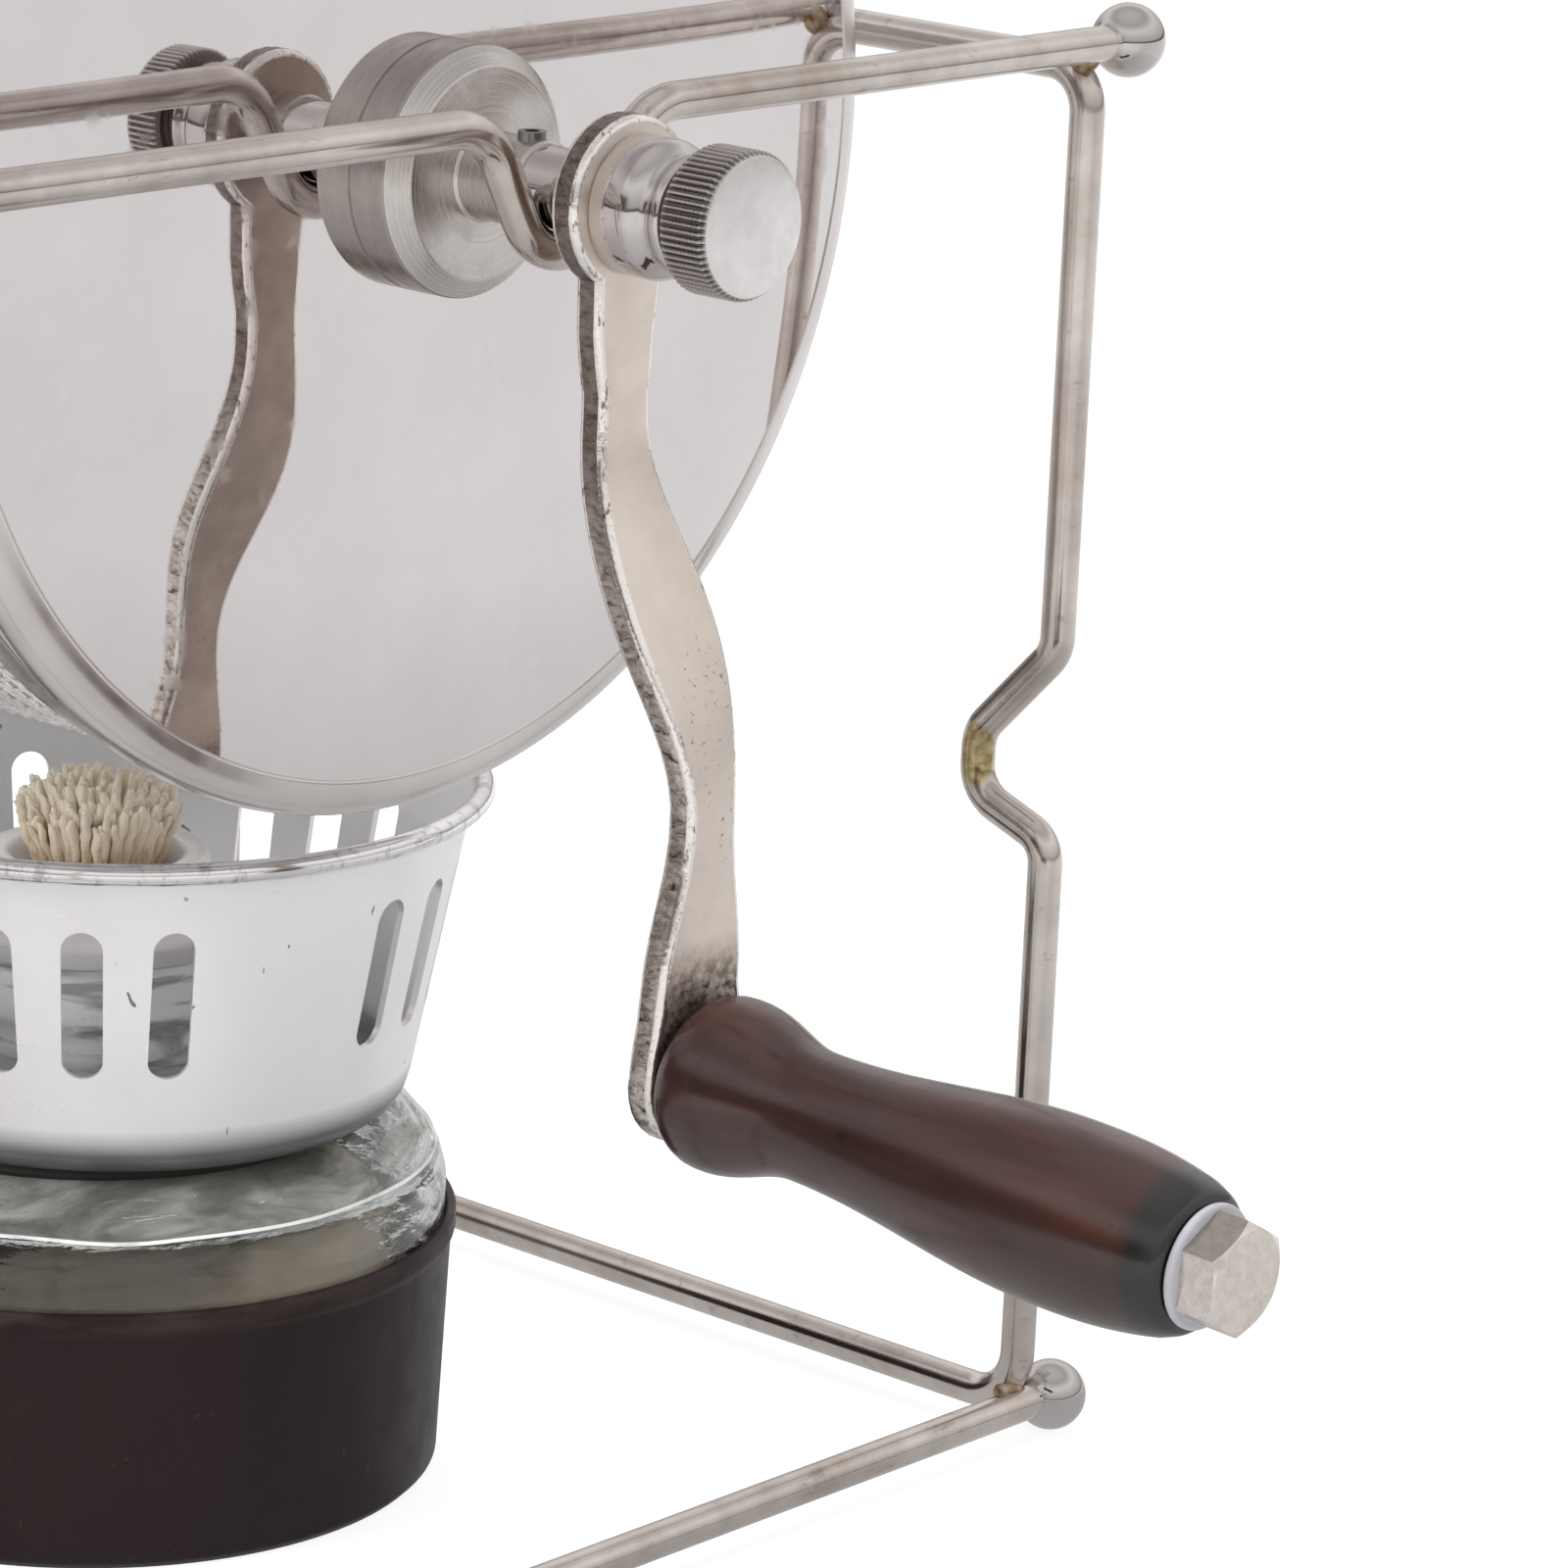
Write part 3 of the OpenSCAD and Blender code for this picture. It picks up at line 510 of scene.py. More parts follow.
def bent_wire(path, bends, closed=False, sides=24):
    """A tube along 2-D points in the XY plane, with a bend radius at each corner."""
    points = [Vector(p) for p in path]
    if closed:
        start = (points[-1] + points[0]) / 2
        points = [start] + points + [start]
        bends = [0] + list(bends) + [0]
    bm = bmesh.new()
    along = (points[1] - points[0]).normalized().to_3d()
    face_on = along.to_track_quat("Z", "Y").to_matrix().to_4x4()
    ring, edges = ring_of(bm, sides, WIRE_R, Matrix.Translation((*points[0], 0)) @ face_on)
    here = points[0]
    for i in range(1, len(points)):
        a, b = points[i - 1], points[i]
        last = i == len(points) - 1
        stop = b if last else b - (b - a).normalized() * lead(a, b, points[i + 1], bends[i])
        ring, edges = grow_ring(bm, edges, (stop - here).to_3d())
        if last:
            break
        c = points[i + 1]
        turn = -(b - a).angle_signed(c - b)
        side = ((c - b).normalized() - (b - a).normalized()).normalized()
        middle = b + side * bends[i] / math.cos(turn / 2)
        bent = bmesh.ops.spin(bm, geom=ring + edges, cent=middle.to_3d(), axis=(0, 0, 1),
                              angle=turn, steps=max(4, round(abs(turn) / BEND_STEP)))["geom_last"]
        ring, edges = points_of(bent), edges_of(bent)
        here = b + (c - b).normalized() * lead(a, b, c, bends[i])
    if not closed:
        bmesh.ops.holes_fill(bm, edges=[e for e in bm.edges if e.is_boundary], sides=0)
    return bm


# %% [markdown]
# A side loop is a closed rectangle with a joggle in each post, where the wire steps in to
# a blunt nose. The left loop is the right one at the other side, so both come from one
# path of twelve corners.

# %% Side loops
JOGGLE_DEPTH = 10.1
JOGGLE_Z = 75.6
JOGGLE_HALF = 3.4
JOGGLE_FALL = JOGGLE_DEPTH / math.tan(math.radians(46.5)) * 1.12
JOGGLE_RETURN = JOGGLE_DEPTH * 0.366
NOSE_X = POST_X - JOGGLE_DEPTH

half_loop = [(POST_X, LOOP_LOW_Z), (POST_X, JOGGLE_Z - JOGGLE_HALF - JOGGLE_RETURN),
             (NOSE_X, JOGGLE_Z - JOGGLE_HALF), (NOSE_X, JOGGLE_Z + JOGGLE_HALF),
             (POST_X, JOGGLE_Z + JOGGLE_HALF + JOGGLE_FALL), (POST_X, LOOP_TOP_Z)]
half_bends = [6, 3.5, 4.5, 4.5, 4.5, 5]
loop_path = half_loop + [(-x, z) for x, z in reversed(half_loop)]
loop_bends = half_bends + half_bends[::-1]

for name, y in (("side_loop_left", -LOOP_Y), ("side_loop_right", LOOP_Y)):
    finish_piece(bent_wire(loop_path, loop_bends, closed=True), name + "_wire", [NICKEL_WIRE],
                 "stand", (name,), Matrix.Translation((0, y, 0)) @ STAND_UP)

# %% [markdown]
# A top bar dips in the middle to carry the shaft. Its flanks meet the round bottom of the
# dip and two shoulder bends, so the corner points of the path are found from the depth of
# the dip and the slope of a flank. A base bar is straight.

# %% Cross bars
DIP_R = 6.5
DIP_SHOULDER_R = 7.5
DIP_FLANK = math.radians(62)
DIP_Z = AXIS_Z - SHAFT_R - WIRE_R - 0.05
dip_depth = TOP_BAR_Z - DIP_Z
dip_half = (dip_depth - DIP_R * (1 - 1 / math.cos(DIP_FLANK))) / math.tan(DIP_FLANK)
top_path = [(-BAR_END_Y, TOP_BAR_Z), (-dip_half, TOP_BAR_Z),
            (0, TOP_BAR_Z - dip_half * math.tan(DIP_FLANK)),
            (dip_half, TOP_BAR_Z), (BAR_END_Y, TOP_BAR_Z)]
top_bends = [0, DIP_SHOULDER_R, DIP_R, DIP_SHOULDER_R, 0]
base_path = [(-BAR_END_Y, BALL_R), (BAR_END_Y, BALL_R)]

for kind, path, bends in (("top", top_path, top_bends), ("base", base_path, [0, 0])):
    for end, x in (("crank", BAR_X), ("far", -BAR_X)):
        name = f"{kind}_bar_{end}"
        finish_piece(bent_wire(path, bends), name + "_wire", [NICKEL_WIRE], "stand", (name,),
                     Matrix.Translation((x, 0, 0)) @ ACROSS)

# %% [markdown]
# Each bar ends in a ball. A ball turned from a half circle keeps its poles on the bar's
# line, and a small collar of solder closes the hole that the bar goes into.

# %% Ball ends
BALL_SKIN_R = BALL_R - 0.03


def join_in(whole, part):
    """Adds a finished bmesh to a larger one."""
    loose = as_mesh(part, "loose")
    whole.from_mesh(loose)
    bpy.data.meshes.remove(loose)


def ball_profile(points=24):
    hole = math.asin(WIRE_R / BALL_R)
    angles = [hole + (math.pi - hole) * i / points for i in range(points + 1)]
    shell = [(BALL_SKIN_R * math.sin(a), -BALL_SKIN_R * math.cos(a)) for a in angles]
    collar = [(WIRE_R * 0.98, shell[0][1] - 0.35), (WIRE_R + 0.18, shell[0][1] - 0.12)]
    return collar + shell


balls = bmesh.new()
for x in (-BAR_X, BAR_X):
    for y in (-1, 1):
        for z in (BALL_R, TOP_BAR_Z):
            ball = turned(ball_profile(), steps=40)
            place = Matrix.Translation((x, y * BALL_Y, z)) @ Matrix.Rotation(-y * QUARTER, 4, "X")
            bmesh.ops.transform(ball, matrix=place, verts=ball.verts)
            join_in(balls, ball)
finish_piece(balls, "balls", [POLISHED], "stand", ("ball_ends",))

# %% [markdown]
# ## The drum
# An end disc is pressed from thin sheet: a polished face that is very slightly crowned, a
# narrow groove, a rolled lip, and a skirt that grips the mesh. It is a turned piece, drawn
# as one closed profile so that the sheet has its thickness everywhere.

# %% End discs
SHEET_T = 0.8
GROOVE_R = 61.6
CROWN = 1.3
CROWN_RADII = (SHAFT_R, 14, 24, 34, 42, 49, 55, 59, GROOVE_R)


def disc_face(r):
    return FACE_X - CROWN * (r / GROOVE_R) ** 4


def disc_profile():
    crown = [(r, disc_face(r)) for r in CROWN_RADII]
    edge = disc_face(GROOVE_R)
    inner_r = SKIRT_R - SHEET_T
    groove = shifted([(0.12, -0.22), (0.34, -0.22), (0.45, -0.05)], GROOVE_R, edge)
    lip = shifted([(-2.6, -0.2), (-1.5, -0.55), (-0.6, -1.25), (-0.1, -2.2), (0, -3.3),
                   (-0.45, -3.9)], LIP_R, edge)
    skirt = shifted([(0.1, -4.2), (0, -4.8), (0, -6.2), (0.35, -6.7), (0.35, -7.7), (0, -8.2)],
                    SKIRT_R, edge)
    hem = [(SKIRT_R, FACE_X - DISC_DEPTH), (inner_r, FACE_X - DISC_DEPTH),
           (inner_r, edge - 4.2), (GROOVE_R, edge - 1.4)]
    inside = [(r, x - SHEET_T) for r, x in reversed(crown)]
    return crown + groove + lip + skirt + hem + inside


def end_disc():
    """Mirror on the face, satin on the rolled edge and the skirt, where the tool pressed."""
    bm = turned(disc_profile(), steps=180, ring=True)
    for face in bm.faces:
        face.material_index = int(from_axis(face) > GROOVE_R)
    return bm


for name, place in (("crank_end_disc", ON_SHAFT), ("far_end_disc", FAR_SHAFT)):
    finish_piece(end_disc(), name + "_pressed", [MIRROR, SATIN_EDGE], "drum", (name,),
                 place, sharp=40)

# %% [markdown]
# The drum's wall is woven from steel wire. One lengthwise wire and one hoop are made, and
# the rest are copies of these two. The lengthwise wire rides over and under the hoops,
# which a small wave on its points shows. Four sides are enough for a wire this thin. Where
# the filling window is, the faces are taken out at the end, so both sets of wires stop
# along its edge.

# %% Woven wall
WEAVE_R = WALL_R - 0.45
WEAVE_WIRE_R = 0.24
WEAVE_WAVE = 0.2
WEAVE_SIDES = 4
LENGTHWISE = 180
HOOPS = 42
WALL_X = FACE_X - 4.2
WINDOW_X = 18
WINDOW_ANGLE = math.radians(24)


def in_window(point):
    return abs(point.x) < WINDOW_X and abs(math.atan2(point.y, point.z)) < WINDOW_ANGLE


def open_window(bm):
    inside = [f for f in bm.faces if in_window(f.calc_center_median())]
    bmesh.ops.delete(bm, geom=inside, context="FACES")
    return bm


def lengthwise_wires():
    bm = bmesh.new()
    start = Matrix.Translation((-WALL_X, 0, WEAVE_R)) @ ALONG_X
    edges = ring_of(bm, WEAVE_SIDES, WEAVE_WIRE_R, start)[1]
    step = 2 * WALL_X / (2 * HOOPS)
    for i in range(2 * HOOPS):
        rise = WEAVE_WAVE * (0, 1, 0, -1)[(i + 1) % 4] - WEAVE_WAVE * (0, 1, 0, -1)[i % 4]
        edges = grow_ring(bm, edges, (step, 0, rise))[1]
    bmesh.ops.spin(bm, geom=all_of(bm), cent=(0, 0, 0), axis=(1, 0, 0), angle=FULL_TURN,
                   steps=LENGTHWISE, use_duplicate=True)
    bmesh.ops.remove_doubles(bm, verts=bm.verts, dist=0.01)
    return open_window(bm)


def hoop_wires():
    bm = bmesh.new()
    start = Matrix.Translation((-WALL_X + WALL_X / HOOPS, 0, WEAVE_R)) @ STAND_UP
    ring, edges = ring_of(bm, WEAVE_SIDES, WEAVE_WIRE_R, start)
    bmesh.ops.spin(bm, geom=ring + edges, cent=(0, 0, 0), axis=(1, 0, 0), angle=FULL_TURN,
                   steps=LENGTHWISE, use_merge=True)
    hoop = all_of(bm)
    for i in range(1, HOOPS):
        copy = bmesh.ops.duplicate(bm, geom=hoop)["geom"]
        bmesh.ops.translate(bm, vec=(2 * WALL_X / HOOPS * i, 0, 0), verts=points_of(copy))
    return open_window(bm)


for wires, name in ((lengthwise_wires, "mesh_lengthwise"), (hoop_wires, "mesh_hoops")):
    finish_piece(wires(), name, [MESH_STEEL], "drum", ("drum_mesh",), RAISED,
                 sharp=180)

# %% [markdown]
# The window has a sliding door, a thin curved plate with a finger tab, held by two bent rails.
# Door and rails are parts of rings round the shaft, so each is a small cross-section in
# the XZ plane that is spun through the angle it covers.

# %% Door and rails
DOOR_R = WALL_R + 0.3
DOOR_T = 0.8
DOOR_X = WINDOW_X + 2.5
DOOR_ANGLE = WINDOW_ANGLE + math.radians(3)
TAB_ANGLE = math.radians(1)
TAB_H = 2.4
RAIL_H = DOOR_T + 1.3
RAIL_T = 0.7
RAIL_W = 2.4
RAIL_SPARE = math.radians(2)
SOFT_EDGE = 0.15
CRISP_ANGLE = 0.7


def ring_part(section, start, end):
    """A closed (x, r) section, spun round the shaft from one angle to another."""
    bm = bmesh.new()
    face = bm.faces.new([bm.verts.new((x, 0, r)) for x, r in section])
    bmesh.ops.rotate(bm, cent=(0, 0, 0), matrix=Matrix.Rotation(start, 3, "X"), verts=bm.verts)
    steps = max(2, round(abs(end - start) / math.radians(2)))
    bmesh.ops.spin(bm, geom=[face], cent=(0, 0, 0), axis=(1, 0, 0), angle=end - start,
                   steps=steps)
    bmesh.ops.recalc_face_normals(bm, faces=bm.faces)
    crisp = [e for e in bm.edges
             if len(e.link_faces) == 2 and e.calc_face_angle(0) > CRISP_ANGLE]
    bmesh.ops.bevel(bm, geom=crisp, offset=SOFT_EDGE, affect="EDGES", segments=2, profile=0.5,
                    material=-1, clamp_overlap=True)
    return bm


def plate_section(half_width, thickness):
    low, high = DOOR_R, DOOR_R + thickness
    return [(-half_width, low), (half_width, low), (half_width, high), (-half_width, high)]


DOOR_STEEL = plain("door_mesh", (0.62, 0.60, 0.59), 1.0, 0.26, grain=((700, 2), 0.2, 0.0001),
                   tones=((90, 3), (0.35, (0.48, 0.45, 0.43)), (0.65, (0.70, 0.68, 0.67))))
for name, section, end in (("door_plate", plate_section(DOOR_X, DOOR_T), DOOR_ANGLE),
                           ("door_tab", plate_section(WINDOW_X / 2, TAB_H), TAB_ANGLE - DOOR_ANGLE)):
    finish_piece(ring_part(section, -DOOR_ANGLE, end), name, [DOOR_STEEL], "door",
                 ("filling_door",), RAISED)

rail_inner = DOOR_X - 1.6
rail_outer = DOOR_X + 0.3
rail_top = WALL_R + RAIL_H
rail = [(rail_outer, WALL_R), (rail_outer + RAIL_W, WALL_R), (rail_outer + RAIL_W, rail_top),
        (rail_inner, rail_top), (rail_inner, rail_top - RAIL_T), (rail_outer, rail_top - RAIL_T)]
for name, way in (("rail_crank_side", 1), ("rail_far_side", -1)):
    section = [(way * x, r) for x, r in rail[::way]]
    finish_piece(ring_part(section, -DOOR_ANGLE - RAIL_SPARE, 3 * DOOR_ANGLE + RAIL_SPARE), name,
                 [TURNED], "drum", ("door_rails",), RAISED)

# %% [markdown]
# The shaft runs from the far collar to the stud that the thumb nut screws on to.
# A hub is a short turned block with a wide chamfer and a long boss that the set screw goes
# into. The boss stops just short of the wire, and so does the collar on its other side,
# which keeps the shaft from sliding.

# %% Hubs, shaft and collars
hub_profile = [(SHAFT_R, FACE_X - 0.05), (HUB_R - 0.25, FACE_X - 0.05), (HUB_R, FACE_X + 0.2),
               (HUB_R, HUB_FACE_X - 2.0), (HUB_R - 2.0, HUB_FACE_X),
               (BOSS_R + 0.3, HUB_FACE_X), (BOSS_R, HUB_FACE_X + 0.3),
               (BOSS_R, BOSS_END_X - 0.25), (BOSS_R - 0.25, BOSS_END_X), (SHAFT_R, BOSS_END_X)]
# The hub's round side gets a darker copy of the turned steel: a painted shade.
HUB_SIDE_SHADED = turned_steel("hub_side_shaded", (0.52, 0.48, 0.455), (0.15, 0.36))


def end_hub():
    bm = turned(hub_profile, {3: 0.25, 4: 0.25}, ring=True)
    for face in bm.faces:
        face.material_index = int(from_axis(face) > HUB_R - 0.3)
    return bm


for name, place in (("crank_hub", ON_SHAFT), ("far_hub", FAR_SHAFT)):
    finish_piece(end_hub(), name + "_turned", [TURNED, HUB_SIDE_SHADED], "drum", (name,),
                 place, sharp=28)

FAR_COLLAR_LEN = 6
FAR_END = COLLAR_X + FAR_COLLAR_LEN
NUT_START = ARM_X + ARM_T + 9.2
STUD_R = 2.5
shaft_profile = [(0, -FAR_END), (SHAFT_R - 0.4, -FAR_END), (SHAFT_R, 0.4 - FAR_END),
                 (SHAFT_R, NUT_START - 0.1), (STUD_R, NUT_START - 0.1), (STUD_R, NUT_START + 3.7),
                 (STUD_R - 0.3, NUT_START + 4.0), (0, NUT_START + 4.0)]
finish_piece(turned(shaft_profile), "shaft_turned", [POLISHED], "drum", ("shaft",),
             ON_SHAFT)

for name, length, place in (("far_collar", FAR_COLLAR_LEN, FAR_SHAFT),
                            ("shaft_collar", COLLAR_LEN, ON_SHAFT)):
    profile = [(SHAFT_R, 0), (BOSS_R - 0.2, 0), (BOSS_R, 0.2), (BOSS_R, length - 0.2),
               (BOSS_R - 0.2, length), (SHAFT_R, length)]
    finish_piece(turned(profile, ring=True), name + "_turned", [TURNED], "drum", (name,),
                 further(place, COLLAR_X))

# %% [markdown]
# ## The crank arm
# The arm is a flat casting with a waisted outline, bent afterwards. The mesh is made the
# same way. The outline is one face, it is given thickness, its rim is bevelled, planes
# cut it across so that it can bend, and then each point is carried out by the bend.

# %% Crank arm
PIT_PATCH = (ARM_X + ARM_STEP, 2.5, AXIS_Z - 52)
PIT_PATCH_HALF = (0.02, 0.0042, 0.011)


def cast_side():
    f = Finish("cast_side", (0.42, 0.37, 0.33), 1.0, 0.42)
    grain = f.noise(1050, 5, 0.65, 0.7, stretch=(0.6, 1, 1.2))
    broad = f.noise(70, 3)
    mixed = f.math("ADD", f.math("MULTIPLY", grain, 0.7), f.math("MULTIPLY", broad, 0.3))
    tone = f.ramp(mixed, [(0.40, (0.10, 0.075, 0.06)), (0.455, (0.50, 0.44, 0.39)),
                          (0.58, (0.90, 0.845, 0.80))])
    upper = f.height(AXIS_Z - 46, AXIS_Z - 24, 0, 0.78)
    f.color(f.mix(upper, tone, (0.12, 0.09, 0.075)))
    f.rough(f.noise(260, 4), 0.3, 0.7, 0.20, 0.40)
    f.bump(grain, 0.6, 0.0002)
    f.bump(broad, 0.25, 0.0009)
    return f.material


def cast_face(name, light, dull):
    """Clouded plating with small pits, and a stain where the arm meets the grip."""
    f = Finish(name, light, 1.0, 0.4)
    pores = f.span(f.noise(1500, 3, 0.6), 0.62, 0.72, 0, 1)
    patch = f.worn_spot(PIT_PATCH, PIT_PATCH_HALF)
    faint = f.span(f.noise(60, 3, 0.6), 0.52, 0.66, 0, 0.5)
    pitted = f.math("MULTIPLY", pores, f.math("MAXIMUM", patch, faint))
    base = f.ramp(f.noise(90, 5, 0.65), [(0.35, dull), (0.65, light)])
    low = f.height(GRIP_Z + 9, GRIP_Z + 14, 1, 0)
    stain = f.math("MULTIPLY", low, f.span(f.noise(800, 5, 0.7), 0.35, 0.6, 0.2, 1))
    base = f.mix(stain, base, (0.13, 0.09, 0.065))
    f.color(f.mix(pitted, base, (0.34, 0.27, 0.22)))
    rough = f.span(f.noise(220, 5, 0.6), 0.3, 0.75, 0.38, 0.52)
    f.rough(f.math("ADD", rough, f.math("MULTIPLY", stain, 0.2)))
    height = f.math("SUBTRACT", f.noise(500, 4), f.math("MULTIPLY", pitted, 0.8))
    f.bump(height, 0.22, 0.00022)
    return f.material


CAST_SIDE = cast_side()
CAST_FACE = cast_face("cast_face", (0.93, 0.85, 0.775), (0.82, 0.74, 0.665))
CAST_EDGE = plain("cast_edge", (0.88, 0.84, 0.80), 1.0, 0.18, grain=((1000, 4), 0.45, 0.0002),
                  tones=((1500, 5, 0.7, 0.0, (1, 1, 0.4)), (0.33, (0.20, 0.16, 0.13)),
                         (0.43, (0.93, 0.895, 0.86))))
# The back gets a darker copy of the face's finish: a painted shade.
CAST_BACK_SHADED = cast_face("cast_back_shaded", (0.62, 0.525, 0.455), (0.47, 0.39, 0.33))
SIDE, FRONT, EDGE, BACK = range(4)
EYE_R = 8.5
ARM_END_R = 7.3
ARM_EDGE = 0.72
ARM_CUTS = 60
# Height below the shaft's axis, and the left and right edge of the strap there
ARM_EDGES = [(12.5, -4.4, 3.8), (19.5, -3.3, 3.4), (39.5, -4.7, 6.8),
             (58.5, -2.0, 4.6), (75.5, -5.0, 6.5), (84.2, -5.8, 8.8)]


def edge_at(drop, side):
    """The strap's edge, eased from one measured width to the next."""
    for here, after in zip(ARM_EDGES, ARM_EDGES[1:]):
        if drop <= after[0] or after is ARM_EDGES[-1]:
            part = (drop - here[0]) / (after[0] - here[0])
            return eased(here[side], after[side], part)


def arc(middle, radius, start, sweep, steps):
    """(y, z) points round a middle, from an angle off straight up, in degrees."""
    angles = [math.radians(start - i * sweep / steps) for i in range(steps + 1)]
    return [(middle[0] + radius * math.sin(a), middle[1] + radius * math.cos(a)) for a in angles]


def arm_outline():
    """(y, z) corners of the flat strap, from the left of the eye round to its right."""
    drops = [ARM_EDGES[0][0] + i * 3.0 for i in range(24)]
    left, right = ([(edge_at(d, side), AXIS_Z - d) for d in drops] for side in (1, 2))
    eye = arc((0, AXIS_Z), EYE_R, 148, 296, 28)
    end = arc((GRIP_Y, GRIP_Z), ARM_END_R, -96, 168, 16)
    return eye + left + end + right[::-1]


def crank_arm():
    bm = bmesh.new()
    flat = bm.faces.new([bm.verts.new((0, y, z)) for y, z in arm_outline()])
    grow_face(bm, flat, (ARM_T, 0, 0))
    bmesh.ops.recalc_face_normals(bm, faces=bm.faces)
    rim = [e for e in bm.edges if abs(e.verts[0].co.x - e.verts[1].co.x) < 0.1]
    bmesh.ops.bevel(bm, geom=rim, offset=ARM_EDGE, affect="EDGES", segments=3, profile=0.5,
                    material=EDGE, clamp_overlap=True)
    for i in range(1, ARM_CUTS):
        z = AXIS_Z - 9 - i * (THROW - 9) / ARM_CUTS
        bmesh.ops.bisect_plane(bm, geom=all_of(bm), dist=0.0001, plane_co=(0, 0, z),
                               plane_no=(0, 0, 1))
    bmesh.ops.recalc_face_normals(bm, faces=bm.faces)
    for face in bm.faces:
        facing = face.normal.x
        if face.material_index != EDGE:
            face.material_index = FRONT if facing > 0.9 else BACK if facing < -0.9 else SIDE
    for v in bm.verts:
        slope = (arm_back(v.co.z - 0.05) - arm_back(v.co.z + 0.05)) / 0.1
        v.co.x = arm_back(v.co.z) + v.co.x * math.sqrt(1 + slope * slope)
    return bm


finish_piece(crank_arm(), "crank_arm_cast", [CAST_SIDE, CAST_FACE, CAST_EDGE, CAST_BACK_SHADED], "drum",
             ("crank_arm",), sharp=38)

# %% [markdown]
# ## The ring and the thumb nut
# The ring in front of the arm is polished bright, with a rounded shoulder, a groove and a
# thin flange. The nut's rim is straight knurled: a turned blank whose outer faces are
# pulled in on every other step, so the teeth are real and catch the light.

# %% Ferrule and thumb nut
FERRULE_R = 6.8
FERRULE_LEN = 9.1
NUT_R = 7.2
NUT_LEN = 6.0
NUT_X = FERRULE_X + FERRULE_LEN + 0.1
NUT_BORE_R = 2.6
TEETH = 64
TOOTH_DEPTH = 0.38

shoulder = shifted([(-0.3, 0), (0, 0.3), (0, 4.1), (-0.1, 4.5), (-0.45, 5.1), (-1.05, 5.6)],
                   FERRULE_R, 0)
flange = [(5.5, 5.8), (5.35, 6.3), (5.5, 6.9), (5.9, 7.15), (6.0, 7.6), (5.8, 8.1), (5.2, 8.3)]
ferrule_profile = [(SHAFT_R, 0), *shoulder, *flange, (5.2, FERRULE_LEN), (SHAFT_R, FERRULE_LEN)]
finish_piece(turned(ferrule_profile, ring=True), "arm_ferrule_turned", [POLISHED], "drum",
             ("arm_ferrule",), further(ON_SHAFT, FERRULE_X), sharp=50)


def thumb_nut():
    profile = [(0, NUT_LEN), (NUT_R - 0.9, NUT_LEN), (NUT_R - 0.45, NUT_LEN - 0.12),
               (NUT_R, NUT_LEN - 0.75), (NUT_R, 0.6), (NUT_R - 0.6, 0), (NUT_BORE_R, 0),
               (NUT_BORE_R, 4), (0, 4)]
    bm = turned(profile, steps=4 * TEETH)
    for v in bm.verts:
        radius = math.hypot(v.co.x, v.co.y)
        turn = math.atan2(v.co.y, v.co.x) % FULL_TURN
        tooth = round(turn / (math.pi / (2 * TEETH))) % 4
        if radius > NUT_R - 0.1 and tooth >= 2:
            v.co.x *= 1 - TOOTH_DEPTH / radius
            v.co.y *= 1 - TOOTH_DEPTH / radius
    for face in bm.faces:
        face.material_index = int(face.calc_center_median().z > NUT_LEN - 0.15)
    return bm


NUT_FACE = plain("nut_face", (0.80, 0.765, 0.765), 1.0, 0.32, grain=((1300, 3), 0.10, 0.00006),
                 tones=((240, 5, 0.65), (0.35, (0.83, 0.79, 0.79)), (0.6, (0.92, 0.89, 0.89))),
                 gloss=((900, 4), 0.3, 0.7, 0.26, 0.38))
finish_piece(thumb_nut(), "thumb_nut_knurled", [KNURLED, NUT_FACE], "nut", ("thumb_nut",),
             further(ON_SHAFT, NUT_X), sharp=20)

# %% [markdown]
# ## The grip
# The grip is turned hardwood under a dark red-brown lacquer. Its profile has a round
# crest at the arm, a waist for the fingers and a long belly. The lacquer is a clear coat
# over a streaky base, and the far end has darkened almost to black.

# %% Grip
CREST_S, CREST_R = 4.0, 8.8
WAIST_S, WAIST_R = 14.5, 6.5
BELLY_S, BELLY_R = 46.0, 9.1
TIP_R = 7.2
BORE_R = 3.08
GRIP_GAP = 0.3


def lacquered_wood():
    f = Finish("lacquered_wood", (0.07, 0.018, 0.012), 0.0, 0.40, Coat_Weight=0.75,
               Coat_Roughness=0.18, Coat_IOR=1.70, Specular_IOR_Level=0.25)
    streaks = f.noise(300, 6, 0.6, 0.8, stretch=(0.12, 1, 1))
    broad = f.noise(60, 3, stretch=(0.35, 1, 1))
    grain = f.ramp(streaks, [(0.30, (0.020, 0.0052, 0.0034)), (0.50, (0.040, 0.0095, 0.0052)),
                             (0.72, (0.066, 0.0165, 0.0082))])
    tone = f.mix(f.span(broad, 0.35, 0.65, 0.0, 0.9), grain, (0.014, 0.0043, 0.0036))
    far = f.span(f.axis(f.where, "X"), (GRIP_PLACE.x + 57.6) * MM, (GRIP_PLACE.x + 59.4) * MM, 0, 1)
    nicks = f.span(f.noise(210, 3, 0.6, 0.8, stretch=(1, 1, 2)), 0.70, 0.73, 0, 1)
    tone = f.mix(nicks, tone, (0.008, 0.004, 0.0035))
    f.color(f.mix(far, tone, (0.005, 0.0040, 0.0040)))
    f.rough(f.noise(140, 4), 0.3, 0.7, 0.32, 0.50)
    f.bump(f.math("SUBTRACT", streaks, nicks), 0.10, 0.0002)
    f.bump(f.noise(700, 3), 0.05, 0.0001)
    return f.material


def grip_radius(s):
    if s < CREST_S:
        return CREST_R - 1.9 * ((CREST_S - s) / CREST_S) ** 3
    if s < WAIST_S:
        return eased(CREST_R, WAIST_R, (s - CREST_S) / (WAIST_S - CREST_S))
    if s < BELLY_S:
        return eased(WAIST_R, BELLY_R, (s - WAIST_S) / (BELLY_S - WAIST_S))
    return BELLY_R - (BELLY_R - TIP_R) * ((s - BELLY_S) / (GRIP_LEN - BELLY_S)) ** 2.4


